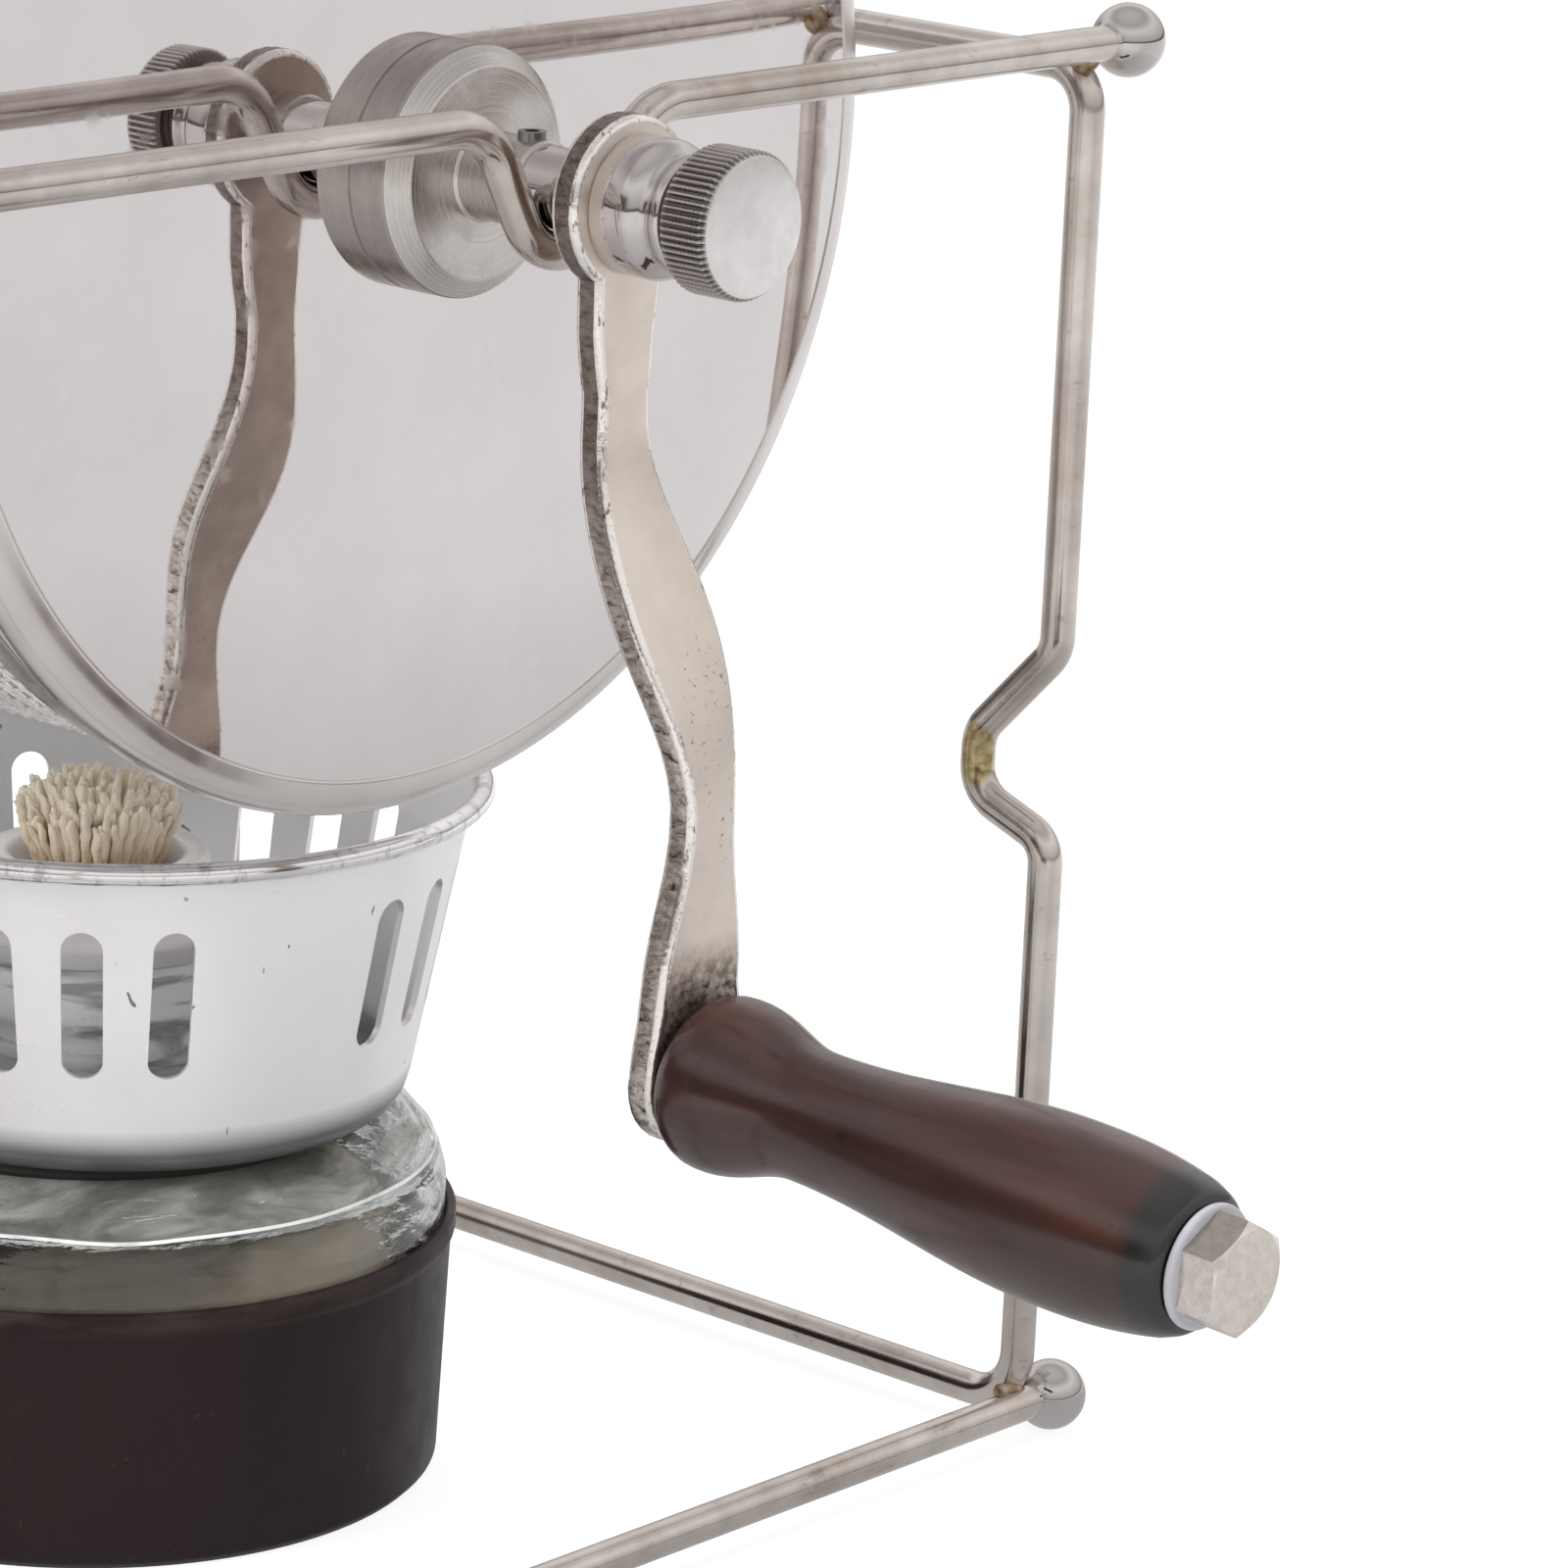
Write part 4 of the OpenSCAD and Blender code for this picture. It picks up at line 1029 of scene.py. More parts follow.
skin_steps = [0.15, 0.5, 1, 1.7, 2.6, 3.5] + [4.5 + i for i in range(56)]
skin = [(grip_radius(s), s) for s in skin_steps]
grip_profile = [(BORE_R, 0.3), (5.4, 0), (6.4, 0), *skin, (TIP_R, GRIP_LEN - 0.8),
                (TIP_R - 0.6, GRIP_LEN), (BORE_R, GRIP_LEN)]
finish_piece(turned(grip_profile, ring=True), "wooden_grip_turned", [lacquered_wood()], "grip",
             ("wooden_grip",), further(ON_GRIP, GRIP_GAP), sharp=60)

# %% [markdown]
# A white washer and a hexagon bolt close the grip's end. The bolt's head is a six-sided
# prism. Slanted planes all round cut its front corners back, as the cone of a lathe tool
# does, and each cut is closed again. What is left of the front is a round flat.

# %% Washer and bolt
WASHER_T = 1.1
WASHER_R = 6.1
WASHER_S = GRIP_GAP + GRIP_LEN + 0.15
HEAD_T = 4.0
HEAD_FLATS = 10.0
BOLT_R = 3.0
CHAMFER_PLANES = 48
CHAMFER_TILT = math.radians(31)

NYLON = plain("nylon", (0.56, 0.555, 0.60), 0.0, 0.36, grain=((600, 3), 0.1, 0.0001),
              tones=((160, 4), (0.3, (0.33, 0.33, 0.355)), (0.7, (0.40, 0.40, 0.43))),
              Subsurface_Weight=0.15, Subsurface_Scale=0.002)
washer_profile = [(BOLT_R, 0), (WASHER_R - 0.3, 0), (WASHER_R, 0.3), (WASHER_R, WASHER_T - 0.3),
                  (WASHER_R - 0.3, WASHER_T), (BOLT_R, WASHER_T)]
finish_piece(turned(washer_profile, {2: 0.12, 3: 0.12}, ring=True), "grip_washer_moulded",
             [NYLON], "drum", ("grip_washer",), further(ON_GRIP, WASHER_S), sharp=60)


def bolt_painted_tone(normal):
    """Which painted tone a face of the head gets by the way it faces: 0 for the face, 1 for the chamfer,
    2 and 3 for the upper and lower flanks.
    """
    if normal.z > 0.98:
        return 0
    if normal.z > 0.3:
        return 1
    return 2 if normal.x < 0 else 3


def hexagon_bolt():
    bm = bmesh.new()
    bmesh.ops.create_circle(bm, segments=6, radius=HEAD_FLATS / 2 / math.cos(math.pi / 6),
                            cap_ends=True, matrix=Matrix.Rotation(QUARTER, 4, "Z"))
    grow_face(bm, bm.faces[:][0], (0, 0, HEAD_T))
    for i in range(CHAMFER_PLANES):
        angle = FULL_TURN * i / CHAMFER_PLANES
        out = Vector((math.cos(angle), math.sin(angle), 0))
        slant = out * math.sin(CHAMFER_TILT) + Vector((0, 0, math.cos(CHAMFER_TILT)))
        cut = bmesh.ops.bisect_plane(bm, geom=all_of(bm), dist=0.0001, clear_outer=True,
                                     plane_co=out * (HEAD_FLATS / 2 - 0.1) + Vector((0, 0, HEAD_T)),
                                     plane_no=slant)
        bmesh.ops.holes_fill(bm, edges=edges_of(cut["geom_cut"]), sides=0)
    shank = bmesh.ops.create_circle(bm, segments=32, radius=BOLT_R, cap_ends=True)["verts"]
    cap = next(f for f in bm.faces if set(f.verts) == set(shank))
    grow_face(bm, cap, (0, 0, -(WASHER_S + WASHER_T + ARM_T - 0.2)))
    bmesh.ops.recalc_face_normals(bm, faces=bm.faces)
    for face in bm.faces:
        face.material_index = bolt_painted_tone(face.normal)
    return bm


# Each face of the head has its own copy of the steel, lighter or darker by the way it faces: painted
# light and shade.
bolt_lit_and_shaded = [plain(name, light, 1.0, 0.34, tones=((900, 5, 0.7), (0.35, dull), (0.6, light)),
                     gloss=((500, 4), 0.3, 0.7, 0.20, 0.34),
                     grain=((620, 4, 0.55, 0.0, (0.3, 1, 3)), 0.10, 0.00010))
               for name, light, dull in (
                   ("bolt_face_lit", (0.93, 0.87, 0.80), (0.78, 0.72, 0.655)),
                   ("bolt_chamfer_highlit", (0.96, 0.92, 0.87), (0.86, 0.81, 0.76)),
                   ("bolt_flank_upper_shaded", (0.56, 0.51, 0.46), (0.46, 0.42, 0.375)),
                   ("bolt_flank_lower_lit", (0.90, 0.84, 0.79), (0.72, 0.66, 0.61)))]
finish_piece(hexagon_bolt(), "grip_bolt_hexagon", bolt_lit_and_shaded, "drum", ("grip_bolt",),
             further(ON_GRIP, WASHER_S + WASHER_T), sharp=14)

# %% [markdown]
# ## The spirit burner
# The burner is a stack: a dark moulded cup, a glass reservoir packed with cotton, a black
# seal, a ceramic holder with the wick, and a spun aluminium wind shield. All but the slots
# and the wick are turned pieces.

# %% Burner sizes
CUP_H = 28.4
GLASS_R = 38.2
GLASS_T = 2.2
CUP_R = GLASS_R + 1.2
CUP_TAPER = 1.4
CUP_FLOOR_Z = 2.0
FOOT_R = GLASS_R - 1.2
NECK_R = 16.0
NECK_TOP_Z = 58.3
SHOULDER_Z = 39.3
SEAM_LOW_Z = SHOULDER_Z - 3.9
SEAM_TOP_Z = SHOULDER_Z - 3.55
SEAL_T = 1.2
SEAL_R = 28.7
CERAMIC_R = 12.0
CERAMIC_TOP_Z = 67.0
WICK_TOP_Z = CERAMIC_TOP_Z + 10.3
SHIELD_FLOOR_Z = SHOULDER_Z + SEAL_T
ON_BURNER = Matrix.Translation((-4.1, 4.85, 0))
ON_SHIELD = ON_BURNER @ Matrix.Translation((1.6, 1.35, 0))


# %% Burner finishes
def brown_plastic():
    """Dark plastic with lint on it, and a rim that handling has rubbed paler."""
    f = Finish("brown_plastic", (0.020, 0.011, 0.011), 0.0, 0.40, Specular_IOR_Level=0.22)
    base = f.ramp(f.noise(30, 5), [(0.3, (0.0125, 0.0066, 0.0066)),
                                   (0.7, (0.0205, 0.0115, 0.0115))])
    lint = f.span(f.noise(900, 2, 0.5, 2.0, stretch=(1, 1, 0.5)), 0.74, 0.78, 0, 0.35)
    patchy = f.span(f.noise(110, 4, stretch=(1, 1, 3)), 0.4, 0.6, 0, 1)
    rubbed = f.math("MULTIPLY", f.height(CUP_H - 2.6, CUP_H - 1.4, 0, 0.5), patchy)
    base = f.mix(rubbed, base, (0.055, 0.035, 0.032))
    f.color(f.mix(lint, base, (0.10, 0.085, 0.08)))
    f.rough(f.noise(180, 5), 0.3, 0.75, 0.34, 0.50)
    f.bump(f.noise(90, 4), 0.06, 0.0004)
    f.bump(f.noise(60, 3, stretch=(1, 1, 9)), 0.08, 0.0003)
    return f.material


def glass(name, color, clear, wave):
    """clear is the share of light that passes; the rest is the haze of thick old glass."""
    f = Finish(name, color, 0.0, 0.0, Transmission_Weight=clear, IOR=1.47)
    f.bump(f.noise(34, 3, 0.5, 0.6, stretch=(1, 1, 3.2)), 0.5, wave)
    f.bump(f.noise(110, 4, 0.6, 0.8, stretch=(1, 1, 5)), 0.35, wave / 4)
    # Hazy glass gets light and dark streaks in its colour: painted wavy highlights and painted shade.
    if clear < 1:
        painted_streaks = f.noise(42, 5, 0.6, 1.4, stretch=(1, 1, 7))
        streak_shade = tuple(0.45 * c for c in color)
        f.color(painted_streaks, (0.36, streak_shade), (0.50, color), (0.62, (0.97, 0.99, 0.98)))
    return f.material


def cotton(name, color, shade, foot=None):
    """Matt fibres; foot is a darker colour that rises from the bottom of a wick."""
    f = Finish(name, color, 0.0, 0.9, Sheen_Weight=0.4, Sheen_Roughness=0.5)
    fibres = f.noise(1500, 5, 0.7, 0.4, stretch=(1, 1, 0.15))
    tone = f.mix(f.noise(260, 5, 0.65), shade, color)
    tone = f.mix(f.span(fibres, 0.55, 0.7, 0, 0.35), tone, shade)
    if foot:
        low = f.height(CERAMIC_TOP_Z, WICK_TOP_Z - 4, 0.95, 0)
        tone = f.mix(f.math("MULTIPLY", low, f.span(fibres, 0.3, 0.6, 1, 0.55)), tone, foot)
    f.color(tone)
    f.bump(fibres, 0.7, 0.0003)
    return f.material


def ceramic():
    """White glaze, with a painted shade where the wind shield closes round it, from the neck's top to
    just below the holder's top.
    """
    white = (0.88, 0.87, 0.88)
    f = Finish("ceramic", white, 0.0, 0.28, Coat_Weight=0.6, Coat_Roughness=0.12)
    # Painted shade inside the shield, broken up by noise.
    low = f.math("MULTIPLY", f.height(CERAMIC_TOP_Z - 3, CERAMIC_TOP_Z, 1, 0),
                 f.height(NECK_TOP_Z - 0.1, NECK_TOP_Z + 0.1, 0, 1))
    shade_in_shield = f.math("MULTIPLY", low, f.span(f.noise(160, 4), 0.2, 0.7, 1, 0.75))
    f.color(f.mix(shade_in_shield, white, (0.56, 0.55, 0.54)))
    f.bump(f.noise(120, 3), 0.08, 0.0003)
    return f.material


def aluminium(name, metal, light, dull):
    """Spun sheet with a painted shade on its foot and a few short scratches."""
    f = Finish(name, light, metal, 0.34)
    cloud_and_shade = f.ramp(f.noise(38, 4, 0.6), [(0.3, dull), (0.7, light)])
    # The foot is darkened by height: a painted shade at the bottom of the shield, by the seal.
    foot = f.height(SHIELD_FLOOR_Z + 2.4, SHIELD_FLOOR_Z + 5.4, 0.88, 0)
    cloud_and_shade = f.mix(foot, cloud_and_shade, (0.13, 0.13, 0.135))
    marks = f.noise(260, 2, 0.5, 2.2, stretch=(1, 1, 0.45), turn=(0.4, 0.2, 0))
    f.color(f.mix(f.span(marks, 0.745, 0.76, 0, 1), cloud_and_shade, (0.25, 0.24, 0.24)))
    f.rough(f.noise(60, 5, 0.65, stretch=(1, 1, 14)), 0.3, 0.75, 0.27, 0.42)
    f.bump(f.noise(650, 4), 0.07, 0.00012)
    return f.material


# Clear below, hazy on the thick shoulder and the neck, with the mould's seam between. The shoulder's
# haze is partly real and partly painted shade under the shield, greyed into its colour; the seam is
# nearly opaque white on a real ridge, a painted highlight line.
CLEAR, SHOULDER, SEAM_HIGHLIGHT, NECK = range(4)
GLASSES = [glass("clear_glass", (0.95, 0.975, 0.965), 1.0, 0.0013),
           glass("hazy_shaded_glass", (0.52, 0.545, 0.52), 0.76, 0.0022),
           glass("seam_highlight_glass", (0.90, 0.93, 0.92), 0.10, 0.0003),
           glass("neck_glass", (0.97, 0.98, 0.96), 0.08, 0.0006)]
# The bead is burnished, with short dark marks in its colour
OUTSIDE, INSIDE, PUNCHED_HIGHLIGHT, BEAD = range(4)
SHIELD_METALS = [
    aluminium("satin_aluminium", 0.74, (1.0, 0.985, 1.0), (0.91, 0.89, 0.915)),
    # The inside gets a white, non-metallic copy of the aluminium: painted light in the shield's shaded
    # inside.
    aluminium("aluminium_inside_lit", 0.0, (1.0, 1.0, 1.0), (0.97, 0.97, 0.98)),
    aluminium("punched_edge_highlight", 0.25, (1.0, 1.0, 1.0), (0.96, 0.96, 0.97)),
    plain("rolled_rim", (0.95, 0.94, 0.95), 1.0, 0.14,
          tones=((480, 4, 0.7, 0.0, (1, 1, 0.6)), (0.34, (0.60, 0.59, 0.60)),
                 (0.47, (0.93, 0.92, 0.935))),
          grain=((70, 3, 0.55, 0.0, (1, 1, 3)), 0.3, 0.0004))]
RUBBER = plain("black_rubber", (0.03, 0.026, 0.026), 0.0, 0.55, grain=((500, 3), 0.2, 0.0001))
TAN_COTTON = cotton("tan_cotton", (0.95, 0.81, 0.64), (0.55, 0.41, 0.27))
WICK_COTTON = cotton("wick_cotton", (1.0, 0.95, 0.84), (1.0, 0.88, 0.68), (0.60, 0.40, 0.20))

# %% Cup, glass, cotton, seal and wick holder
cup_outside = shifted([(-CUP_TAPER - 0.8, 0), (-CUP_TAPER, 0.8), (-0.5, CUP_H - 3.0),
                       (-0.42, CUP_H - 2.7), (-0.1, CUP_H - 2.3), (0, CUP_H - 1.8), (0, CUP_H)],
                      CUP_R, 0)
cup_profile = [(0, 0.5), (29, 0.5), (30.5, 0), *cup_outside, (GLASS_R + 0.12, CUP_H),
               (GLASS_R + 0.05, CUP_H - 1.2), (FOOT_R + 0.05, CUP_FLOOR_Z), (0, CUP_FLOOR_Z)]
finish_piece(turned(cup_profile, {4: 0.35, 9: 0.4, 10: 0.3}, steps=128), "base_cup_moulded",
             [brown_plastic()], "burner", ("base_cup",), ON_BURNER, sharp=40)

glass_outside = [(0, 2.1), (FOOT_R - 2.5, 2.1), (FOOT_R - 0.2, 3.6), (FOOT_R + 0.1, 6),
                 (GLASS_R, CUP_H)]
glass_outside += shifted([(0, -8), (-0.1, -7), (-0.6, -5.2), (-1.2, -3.9), (-1.15, -3.72),
                          (-1.35, -3.55), (-1.5, -3.4), (-3.1, -1.5), (-5.2, -0.4), (-8, 0)],
                         GLASS_R, SHOULDER_Z)
glass_outside += shifted([(1.5, 0), (0, 1.2)], NECK_R, SHOULDER_Z)
for thread_z in (5, 9, 13):
    glass_outside += shifted([(0, -1), (0.6, 0), (0, 1)], NECK_R, SHOULDER_Z + thread_z)
glass_outside += [(NECK_R, NECK_TOP_Z)]
glass_inside = [(NECK_R - GLASS_T, NECK_TOP_Z), (NECK_R - GLASS_T, SHOULDER_Z - 1),
                (NECK_R, SHOULDER_Z - 2.6)]
glass_inside += shifted([(-9.5, -2.9), (-6.6, -4.1), (-4.6, -6.6), (-GLASS_T - 0.9, -10),
                         (-GLASS_T - 0.3, -14)], GLASS_R, SHOULDER_Z)
glass_inside += [(FOOT_R - GLASS_T, 6.5), (FOOT_R - GLASS_T - 2, 4.6), (0, 4.4)]


def glass_part(face):
    z = face.calc_center_median().z
    radius = from_axis(face)
    if SEAM_LOW_Z < z < SEAM_TOP_Z and radius > GLASS_R - 1.4:
        return SEAM_HIGHLIGHT
    if z > SHOULDER_Z + 1:
        return NECK
    if z > SEAM_TOP_Z and radius > 32 or z > SHOULDER_Z - 0.5:
        return SHOULDER
    return CLEAR


def reservoir():
    bm = turned(glass_outside + glass_inside, steps=128)
    for face in bm.faces:
        face.material_index = glass_part(face)
    for v in bm.verts:
        near = max(0.0, 1 - abs(v.co.z - SEAM_LOW_Z) / 3.5)
        v.co.z += 0.8 * near * ripple.noise(Vector((v.co.x, v.co.y, 0)) * 0.06)
    return bm


finish_piece(reservoir(), "reservoir_blown", GLASSES, "burner", ("glass_reservoir",),
             ON_BURNER, sharp=70)

PACKED_LOW_Z = 10
FULL_SIDE = math.radians(42)


def wadding():
    """A turned lump whose top sinks towards one side, with soft ripples all over."""
    top = SHOULDER_Z - 8
    wall = FOOT_R - GLASS_T
    profile = [(0, 4.7)] + shifted([(-1.2, 4.7), (-0.8, 8), (-0.5, 12), (-0.5, 16), (-0.5, 20),
                                    (-0.8, 24), (-1.6, 27), (-3.4, top - 2)], wall, 0)
    profile += [(r, top) for r in (28, 25, 22, 19, 16, 13, 10, 7, 4, 0)]
    bm = turned(profile, steps=90)
    bmesh.ops.remove_doubles(bm, verts=bm.verts, dist=0.01)
    for v in bm.verts:
        if v.co.z > PACKED_LOW_Z:
            facing = math.cos(math.atan2(v.co.y, v.co.x) - FULL_SIDE)
            edge = max(0.0, min(1.0, (math.hypot(v.co.x, v.co.y) - 3) / 14))
            full = max(0.0, min(1.0, 0.12 + 1.1 * facing))
            kept = 0.25 + 0.75 * (1 - edge * (1 - full))
            lumps = 2.4 * ripple.noise(v.co * 0.17) + 1.3 * ripple.noise(v.co * 0.45)
            v.co.z = PACKED_LOW_Z + (v.co.z - PACKED_LOW_Z) * kept + lumps
            squeeze = 0.95 + 0.035 * ripple.noise(v.co * 0.3)
            v.co.x *= squeeze
            v.co.y *= squeeze
    bmesh.ops.smooth_vert(bm, verts=bm.verts, factor=0.5, use_axis_x=True, use_axis_y=True,
                          use_axis_z=True)
    return bm


finish_piece(wadding(), "wadding_packed", [TAN_COTTON], "burner", ("fuel_wadding",),
             ON_BURNER, sharp=180)

seal_profile = [(NECK_R + 0.4, 0), (SEAL_R - 0.4, 0), (SEAL_R, SEAL_T / 2), (SEAL_R - 0.4, SEAL_T),
                (NECK_R + 0.4, SEAL_T)]
finish_piece(turned(seal_profile, ring=True), "seal_ring_moulded", [RUBBER], "burner",
             ("seal_ring",), further(ON_BURNER, SHOULDER_Z))

PLUG_R = 13.3
WICK_BORE_R = 6.3
FLANGE_R = NECK_R + 1
holder_profile = [(WICK_BORE_R, NECK_TOP_Z - 8), (PLUG_R, NECK_TOP_Z - 8), (PLUG_R, NECK_TOP_Z),
                  (FLANGE_R, NECK_TOP_Z), (FLANGE_R, NECK_TOP_Z + 2.4),
                  (CERAMIC_R + 0.6, NECK_TOP_Z + 3.4), (CERAMIC_R, NECK_TOP_Z + 4.4),
                  (CERAMIC_R, CERAMIC_TOP_Z), (9.4, CERAMIC_TOP_Z),
                  (WICK_BORE_R, CERAMIC_TOP_Z - 3.5)]
finish_piece(turned(holder_profile, {3: 0.3, 4: 0.6, 7: 0.5, 8: 0.5}, ring=True),
             "wick_holder_glazed", [ceramic()], "burner", ("wick_holder",),
             ON_BURNER, sharp=50)

# %% [markdown]
# The wind shield is spun from sheet, so it is a turned shell. The slots are punched after
# the spinning, and here too they are cut last, by a boolean with fifteen rounded plugs. A
# narrow bevel then gives the punched edges a whiter, less metallic finish: a painted highlight.

# %% Wind shield
SHIELD_RIM_R = 38.9
SHIELD_RIM_Z = SHIELD_FLOOR_Z + 34.7
SHIELD_SHEET = 0.7
BEAD_R = 1.15
SLOT_W = 4.3
SLOT_LEN = 16.5
SLOT_LOW_Z = SHIELD_FLOOR_Z + 11.4
SLOT_PITCH = 14.9
FIRST_GROUP = -48.6
SHIELD_BORE_R = NECK_R + 2.4
WALL_LOW_Z = SHIELD_FLOOR_Z + 4
WALL_LOW_R = 32.0
WALL_TOP_R = SHIELD_RIM_R - BEAD_R + 0.15
PLUG_START_R = 30
PLUG_REACH = 14


def shield_radius(z):
    part = (z - WALL_LOW_Z) / (SHIELD_RIM_Z - WALL_LOW_Z)
    return WALL_LOW_R + (WALL_TOP_R - WALL_LOW_R) * part


def shield_profile():
    corner = shifted([(28.5, 0), (29.8, 0.35), (30.8, 1.1), (31.5, 2.3)], 0, SHIELD_FLOOR_Z)
    wall = [(shield_radius(WALL_LOW_Z + i * 3.8), WALL_LOW_Z + i * 3.8) for i in range(8)]
    bead = [(SHIELD_RIM_R + BEAD_R * math.cos(a), SHIELD_RIM_Z + BEAD_R * math.sin(a))
            for a in (math.radians(-150 + i * 20) for i in range(17))]
    inside = shifted(reversed(wall), -SHIELD_SHEET, 0.15)
    inner_corner = shifted(reversed(corner), -0.45, SHIELD_SHEET * 0.9)
    return [(SHIELD_BORE_R, SHIELD_FLOOR_Z), *corner, *wall, *bead, *inside, *inner_corner,
            (SHIELD_BORE_R, SHIELD_FLOOR_Z + SHIELD_SHEET)]


def slot_plugs():
    """Fifteen upright plugs with round ends, in five groups of three."""
    bm = bmesh.new()
    middle_z = SLOT_LOW_Z + SLOT_W / 2
    for group in range(5):
        for k in (-1, 0, 1):
            angle = math.radians(FIRST_GROUP + group * 72 + k * SLOT_PITCH)
            face_out = (Matrix.Rotation(angle, 4, "Z")
                        @ Matrix.Translation((PLUG_START_R, 0, middle_z)) @ ALONG_X)
            ring = bmesh.ops.create_circle(bm, segments=32, radius=SLOT_W / 2, cap_ends=True,
                                           matrix=face_out)["verts"]
            upper = [v for v in ring if v.co.z > middle_z - 0.001]
            bmesh.ops.translate(bm, vec=(0, 0, SLOT_LEN - SLOT_W), verts=upper)
            face = next(f for f in bm.faces if set(f.verts) == set(ring))
            grow_face(bm, face, Vector((math.cos(angle), math.sin(angle), 0)) * PLUG_REACH)
    bmesh.ops.recalc_face_normals(bm, faces=bm.faces)
    bmesh.ops.transform(bm, matrix=Matrix.Scale(MM, 4) @ ON_SHIELD, verts=bm.verts)
    return as_object(as_mesh(bm, "slot_plugs"))


def cut_away(piece, plugs):
    """Cuts the plugs out of the piece for good, and removes them."""
    cut = piece.modifiers.new("slots", "BOOLEAN")
    cut.operation = "DIFFERENCE"
    cut.solver = "EXACT"
    cut.object = plugs
    bpy.context.view_layer.update()
    depsgraph = bpy.context.evaluated_depsgraph_get()
    made = bpy.data.meshes.new_from_object(piece.evaluated_get(depsgraph))
    piece.modifiers.clear()
    piece.data = made
    bpy.data.objects.remove(plugs)
    made.set_sharp_from_angle(angle=math.radians(40))


def spun_shield():
    bm = turned(shield_profile(), steps=180, ring=True)
    for face in bm.faces:
        z = face.calc_center_median().z
        within = from_axis(face) < shield_radius(z) - SHIELD_SHEET / 2
        face.material_index = INSIDE if within and z > WALL_LOW_Z else OUTSIDE
        if z > SHIELD_RIM_Z - BEAD_R:
            face.material_index = BEAD
    return bm


shield = finish_piece(spun_shield(), "wind_shield_spun", SHIELD_METALS, "burner",
                      ("wind_shield",), ON_SHIELD, sharp=40)
cut_away(shield, slot_plugs())
# The bevel's faces take the whiter edge finish: a painted highlight along each slot.
edge = shield.modifiers.new("punched_edge_highlight", "BEVEL")
edge.width = 0.36 * MM
edge.material = PUNCHED_HIGHLIGHT
edge.segments = 2
edge.limit_method = "ANGLE"
edge.angle_limit = math.radians(50)
print("wind shield has", len(shield.data.polygons), "faces after punching")

# %% [markdown]
# The wick is a bundle of thick cotton strands that spread as they leave the holder. Each
# strand is an eight sided tube. Its path starts inside the holder and leans outwards,
# more so near the rim of the bundle, with a little seeded waviness so that no two match.

# %% Wick
WICK_FOOT_Z = NECK_TOP_Z + 1
WICK_FOOT_R = 4.9
WICK_SPREAD_R = 8.7
STRAND_R = 0.44
STRAND_STEPS = 12
# How many strands each ring of the bundle holds, and how far out it lies, from 0 to 1
BUNDLE = ((1, 0.0), (9, 0.14), (17, 0.27), (25, 0.39), (33, 0.51), (40, 0.62), (47, 0.73),
          (54, 0.83), (60, 0.92), (66, 1.0))


def strand(rng, angle, reach):
    """One strand, from the holder up to its swollen, frayed tip."""
    bm = bmesh.new()
    foot_r = WICK_FOOT_R * reach
    foot = Vector((foot_r * math.cos(angle), foot_r * math.sin(angle), WICK_FOOT_Z))
    tip_r = WICK_SPREAD_R * reach + rng.uniform(-0.4, 0.3)
    tip_z = WICK_TOP_Z - 1.7 - 3.0 * reach ** 3 + rng.uniform(-1.8, 0.6)
    swing = rng.uniform(-0.16, 0.16)
    tip = Vector((tip_r * math.cos(angle + swing), tip_r * math.sin(angle + swing), tip_z))
    edges = ring_of(bm, 8, STRAND_R, Matrix.Translation(foot))[1]
    here = foot
    for i in range(1, STRAND_STEPS + 1):
        part = i / STRAND_STEPS
        flare = part ** 1.45
        point = foot.lerp(tip, part)
        point.x = foot.x + (tip.x - foot.x) * flare
        point.y = foot.y + (tip.y - foot.y) * flare
        wave = 0.27 * part
        point += Vector((rng.uniform(-wave, wave), rng.uniform(-wave, wave), 0))
        ring, edges = grow_ring(bm, edges, point - here)
        swell = 1.0 + 0.035 * (part > 0.45) + 0.06 * rng.uniform(-1, 1)
        if i == STRAND_STEPS:
            swell = 0.5
        bmesh.ops.scale(bm, vec=(swell, swell, 1), space=Matrix.Translation(-point), verts=ring)
        here = point
    bmesh.ops.holes_fill(bm, edges=edges, sides=0)
    return bm


def wick():
    rng = random.Random(11)
    bundle = bmesh.new()
    for count, reach in BUNDLE:
        for k in range(count):
            angle = FULL_TURN * (k + rng.uniform(-0.22, 0.22)) / count + reach * 2
            join_in(bundle, strand(rng, angle, min(1.0, reach + rng.uniform(-0.05, 0.04))))
    return bundle


finish_piece(wick(), "wick_strands", [WICK_COTTON], "burner", ("wick",), ON_BURNER,
             sharp=75)

# %% [markdown]
# ## What still shows of the frame
# Some solids already have their true shape and only need a finish: their material slots
# are filled here.

# %% Finishes on plain solids
for node, material in (("hub_set_screws", DARK_STEEL), ("weld_beads", WELD_TINT),
                       ("stirring_vanes", MESH_STEEL)):
    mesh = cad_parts[node].data
    mesh.materials.clear()
    mesh.materials.append(material)
    print(node, "keeps its solid and gets", material.name)

# %% [markdown]
# ## The studio
# A pale floor, an even pale surround, and three soft boxes. Polished metal shows whatever
# stands around it. A post leans every reflection down to the floor, so the floor's tone by
# direction, seen only by polished surfaces, gives the posts their dark and light lines. A
# dark band low in the surround does the same for the bars. The lens sees pure white.

# %% Floor and surround
SHADY_SIDE = (math.cos(math.radians(-130)), math.sin(math.radians(-130)), 0)
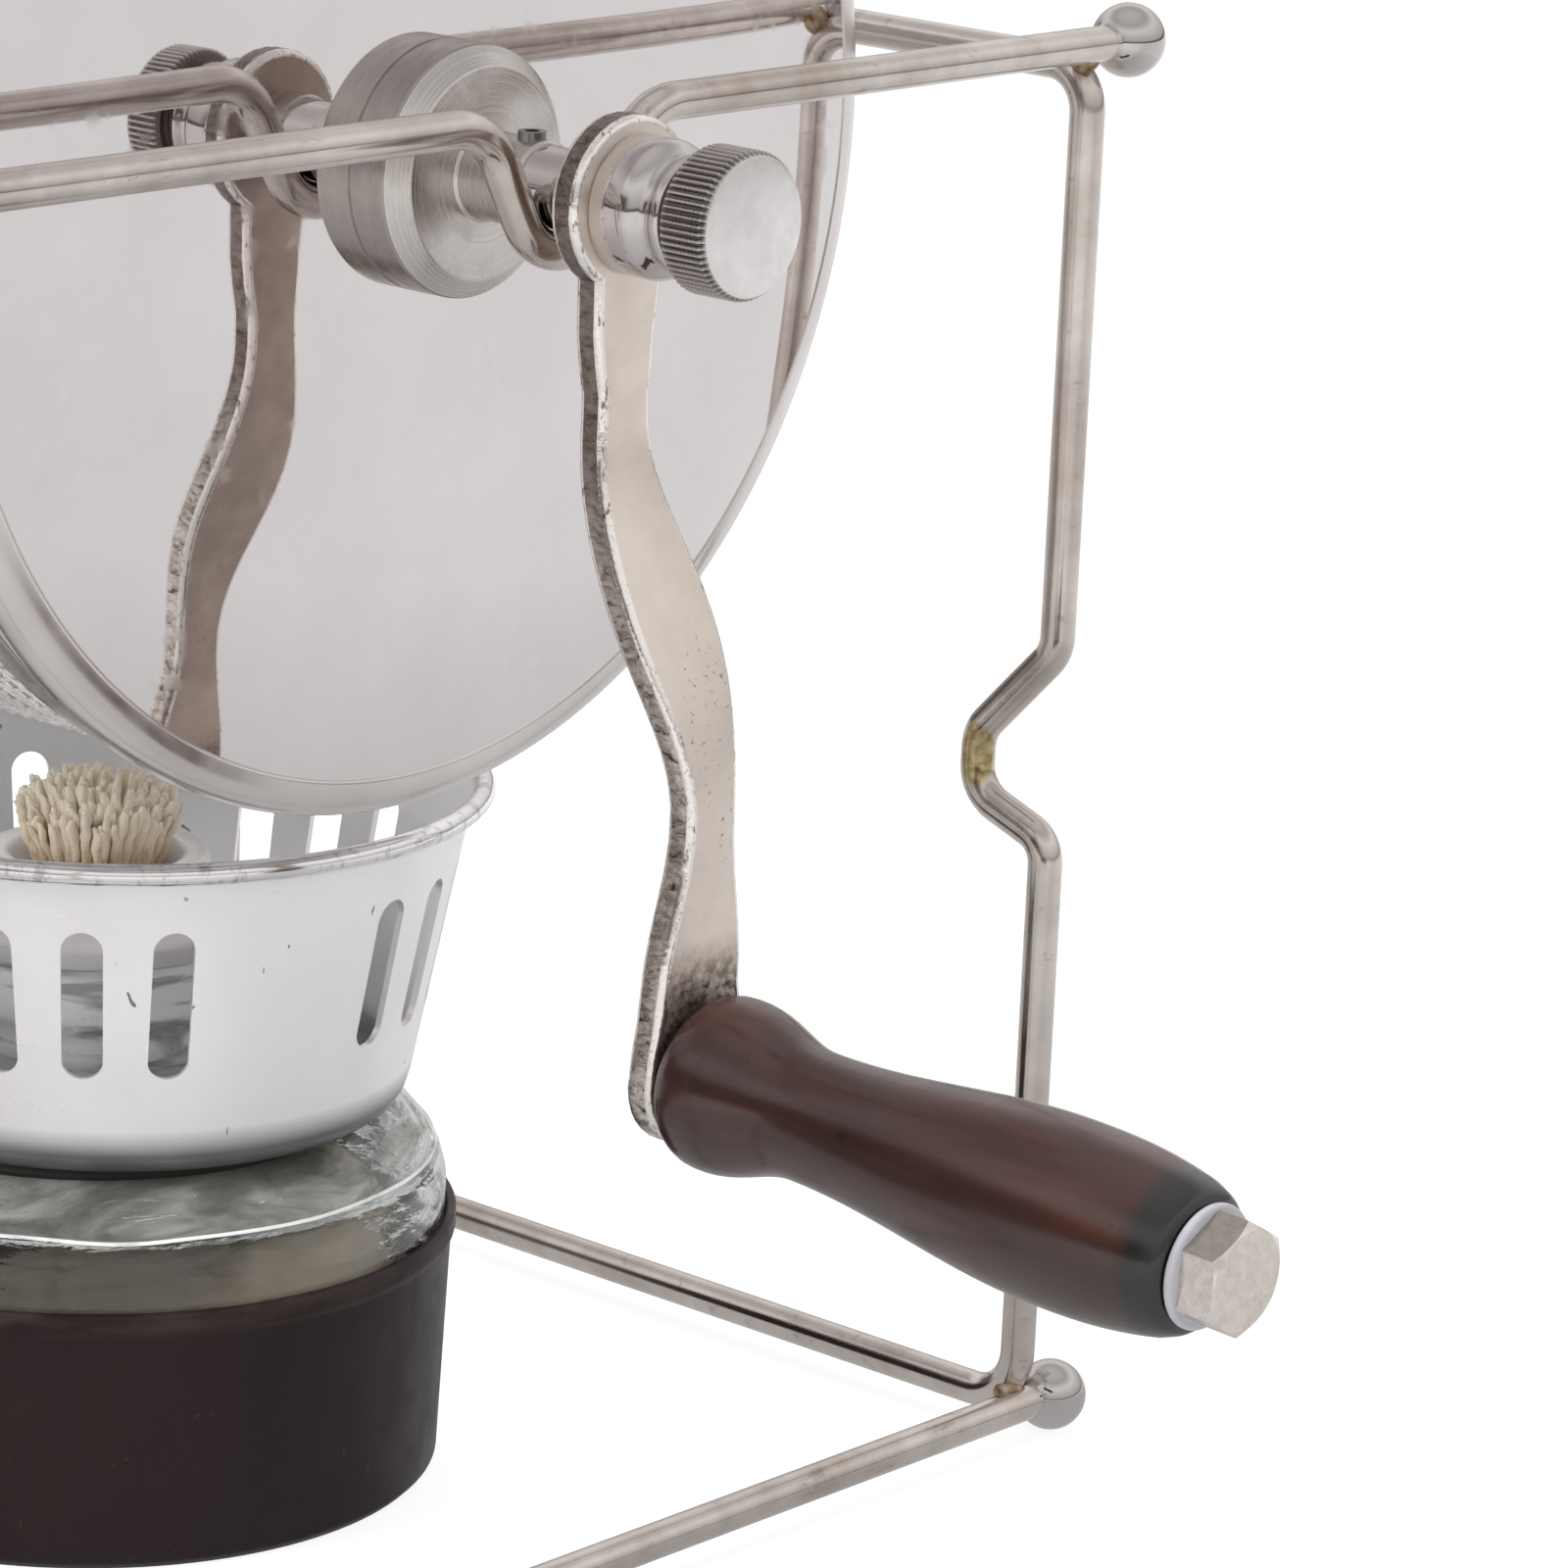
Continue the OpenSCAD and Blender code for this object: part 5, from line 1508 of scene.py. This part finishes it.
# Tones of the surround from straight down, at 0, to straight up, at 1
SHADY_BANDS = [(0.0, (0.30, 0.27, 0.25)), (0.05, (0.11, 0.095, 0.085)),
               (0.30, (0.15, 0.13, 0.12)), (0.42, (0.74, 0.72, 0.71)),
               (0.62, (0.90, 0.89, 0.89)), (0.80, (0.52, 0.50, 0.50)), (1.0, (0.70, 0.69, 0.69))]
SUNNY_BANDS = [(0.0, (0.16, 0.13, 0.12)), (0.03, (0.20, 0.17, 0.16)),
               (0.07, (0.55, 0.53, 0.52)), (0.30, (0.74, 0.72, 0.71)),
               (0.55, (0.92, 0.91, 0.90)), (0.80, (0.55, 0.53, 0.53)), (1.0, (0.70, 0.69, 0.69))]
# Tones of the floor, once round
FLOOR_SECTORS = [
    (0.00, (0.62, 0.60, 0.58)), (0.09, (0.50, 0.47, 0.45)), (0.12, (0.15, 0.13, 0.12)),
    (0.17, (0.17, 0.15, 0.14)), (0.21, (0.85, 0.83, 0.82)), (0.36, (1.0, 0.99, 0.98)),
    (0.46, (0.93, 0.92, 0.91)), (0.52, (0.74, 0.73, 0.73)), (0.70, (0.88, 0.875, 0.875)),
    (0.80, (0.98, 0.97, 0.97)), (1.0, (0.62, 0.60, 0.58))]


def pale_surround():
    """White to the lens, even to matt surfaces, banded to polished ones."""
    world = bpy.data.worlds.new("surround")
    bpy.context.scene.world = world
    world.use_nodes = True
    w = Nodes(world.node_tree)
    out = w.tree.nodes["World Output"]
    where = w.add("TexCoord", "Generated", {})
    height = w.axis(where, "Z")
    lee = w.add("VectorMath", "Value", {0: where, 1: SHADY_SIDE}, operation="DOT_PRODUCT")
    bands = w.mix(w.span(lee, 0.3, 0.7, 0, 1), w.ramp(height, SUNNY_BANDS),
                  w.ramp(height, SHADY_BANDS))
    white = w.add("Background", "Background", {"Color": (1, 1, 1, 1)})
    soft = w.add("Background", "Background", {"Color": (1.0, 0.99, 1.0, 1), "Strength": 0.60})
    room = w.add("Background", "Background", {"Color": bands})
    shown = w.choose(w.add("LightPath", "Is Glossy Ray", {}), soft, room)
    shown = w.choose(w.add("LightPath", "Is Camera Ray", {}), shown, white)
    w.tree.links.new(shown, out.inputs["Surface"])


def pale_floor():
    """White to the lens but for soft shadows; polished metal sees light and dark sectors, darkened near
    the roaster by a painted shadow.
    """
    f = Finish("pale_floor", (0.86, 0.86, 0.86), 0.0, 0.7)
    sector = f.add("TexGradient", "Fac", {"Vector": f.where}, gradient_type="RADIAL")
    # Near the roaster the floor's reflected tone is darker: a painted shadow, seen only by polished
    # metal.
    shadow_under_roaster = f.span(f.rings(f.where), 0.07, 0.42, 0.62, 1.0)
    seen = f.add("Emission", "Emission", {"Strength": 1.12})
    mirrored = f.add("Emission", "Emission", {"Color": f.ramp(sector, FLOOR_SECTORS),
                                              "Strength": shadow_under_roaster})
    direct = f.math("MAXIMUM", f.add("LightPath", "Is Camera Ray", {}),
                    f.add("LightPath", "Is Transmission Ray", {}))
    shown = f.choose(f.math("MULTIPLY", direct, 0.78), f.shader.outputs["BSDF"], seen)
    shown = f.choose(f.add("LightPath", "Is Glossy Ray", {}), shown, mirrored)
    f.tree.links.new(shown, f.tree.nodes["Material Output"].inputs["Surface"])
    bm = bmesh.new()
    bmesh.ops.create_circle(bm, segments=64, radius=6, cap_ends=True)
    floor = as_object(as_mesh(bm, "floor"))
    floor.data.materials.append(f.material)


pale_surround()
pale_floor()
bpy.context.scene.view_settings.view_transform = "Standard"

# %% Soft boxes
LAMP_TARGET = Vector((0, 0, 90))


def soft_box(name, place, size, power):
    light = bpy.data.lights.new(name, "AREA")
    light.shape = "RECTANGLE"
    light.size, light.size_y = (side * MM for side in size)
    light.energy = power
    lamp = bpy.data.objects.new(name, light)
    lamp.location = Vector(place) * MM
    lamp.rotation_mode = "QUATERNION"
    lamp.rotation_quaternion = (Vector(place) - LAMP_TARGET).to_track_quat("Z", "Y")
    lamp.visible_glossy = False
    lamp.visible_transmission = False
    bpy.context.collection.objects.link(lamp)


soft_box("key", (-300, -1100, 900), (500, 700), 12)
soft_box("fill", (1200, -150, 800), (400, 600), 7)
soft_box("top", (-200, 300, 1300), (900, 900), 13)
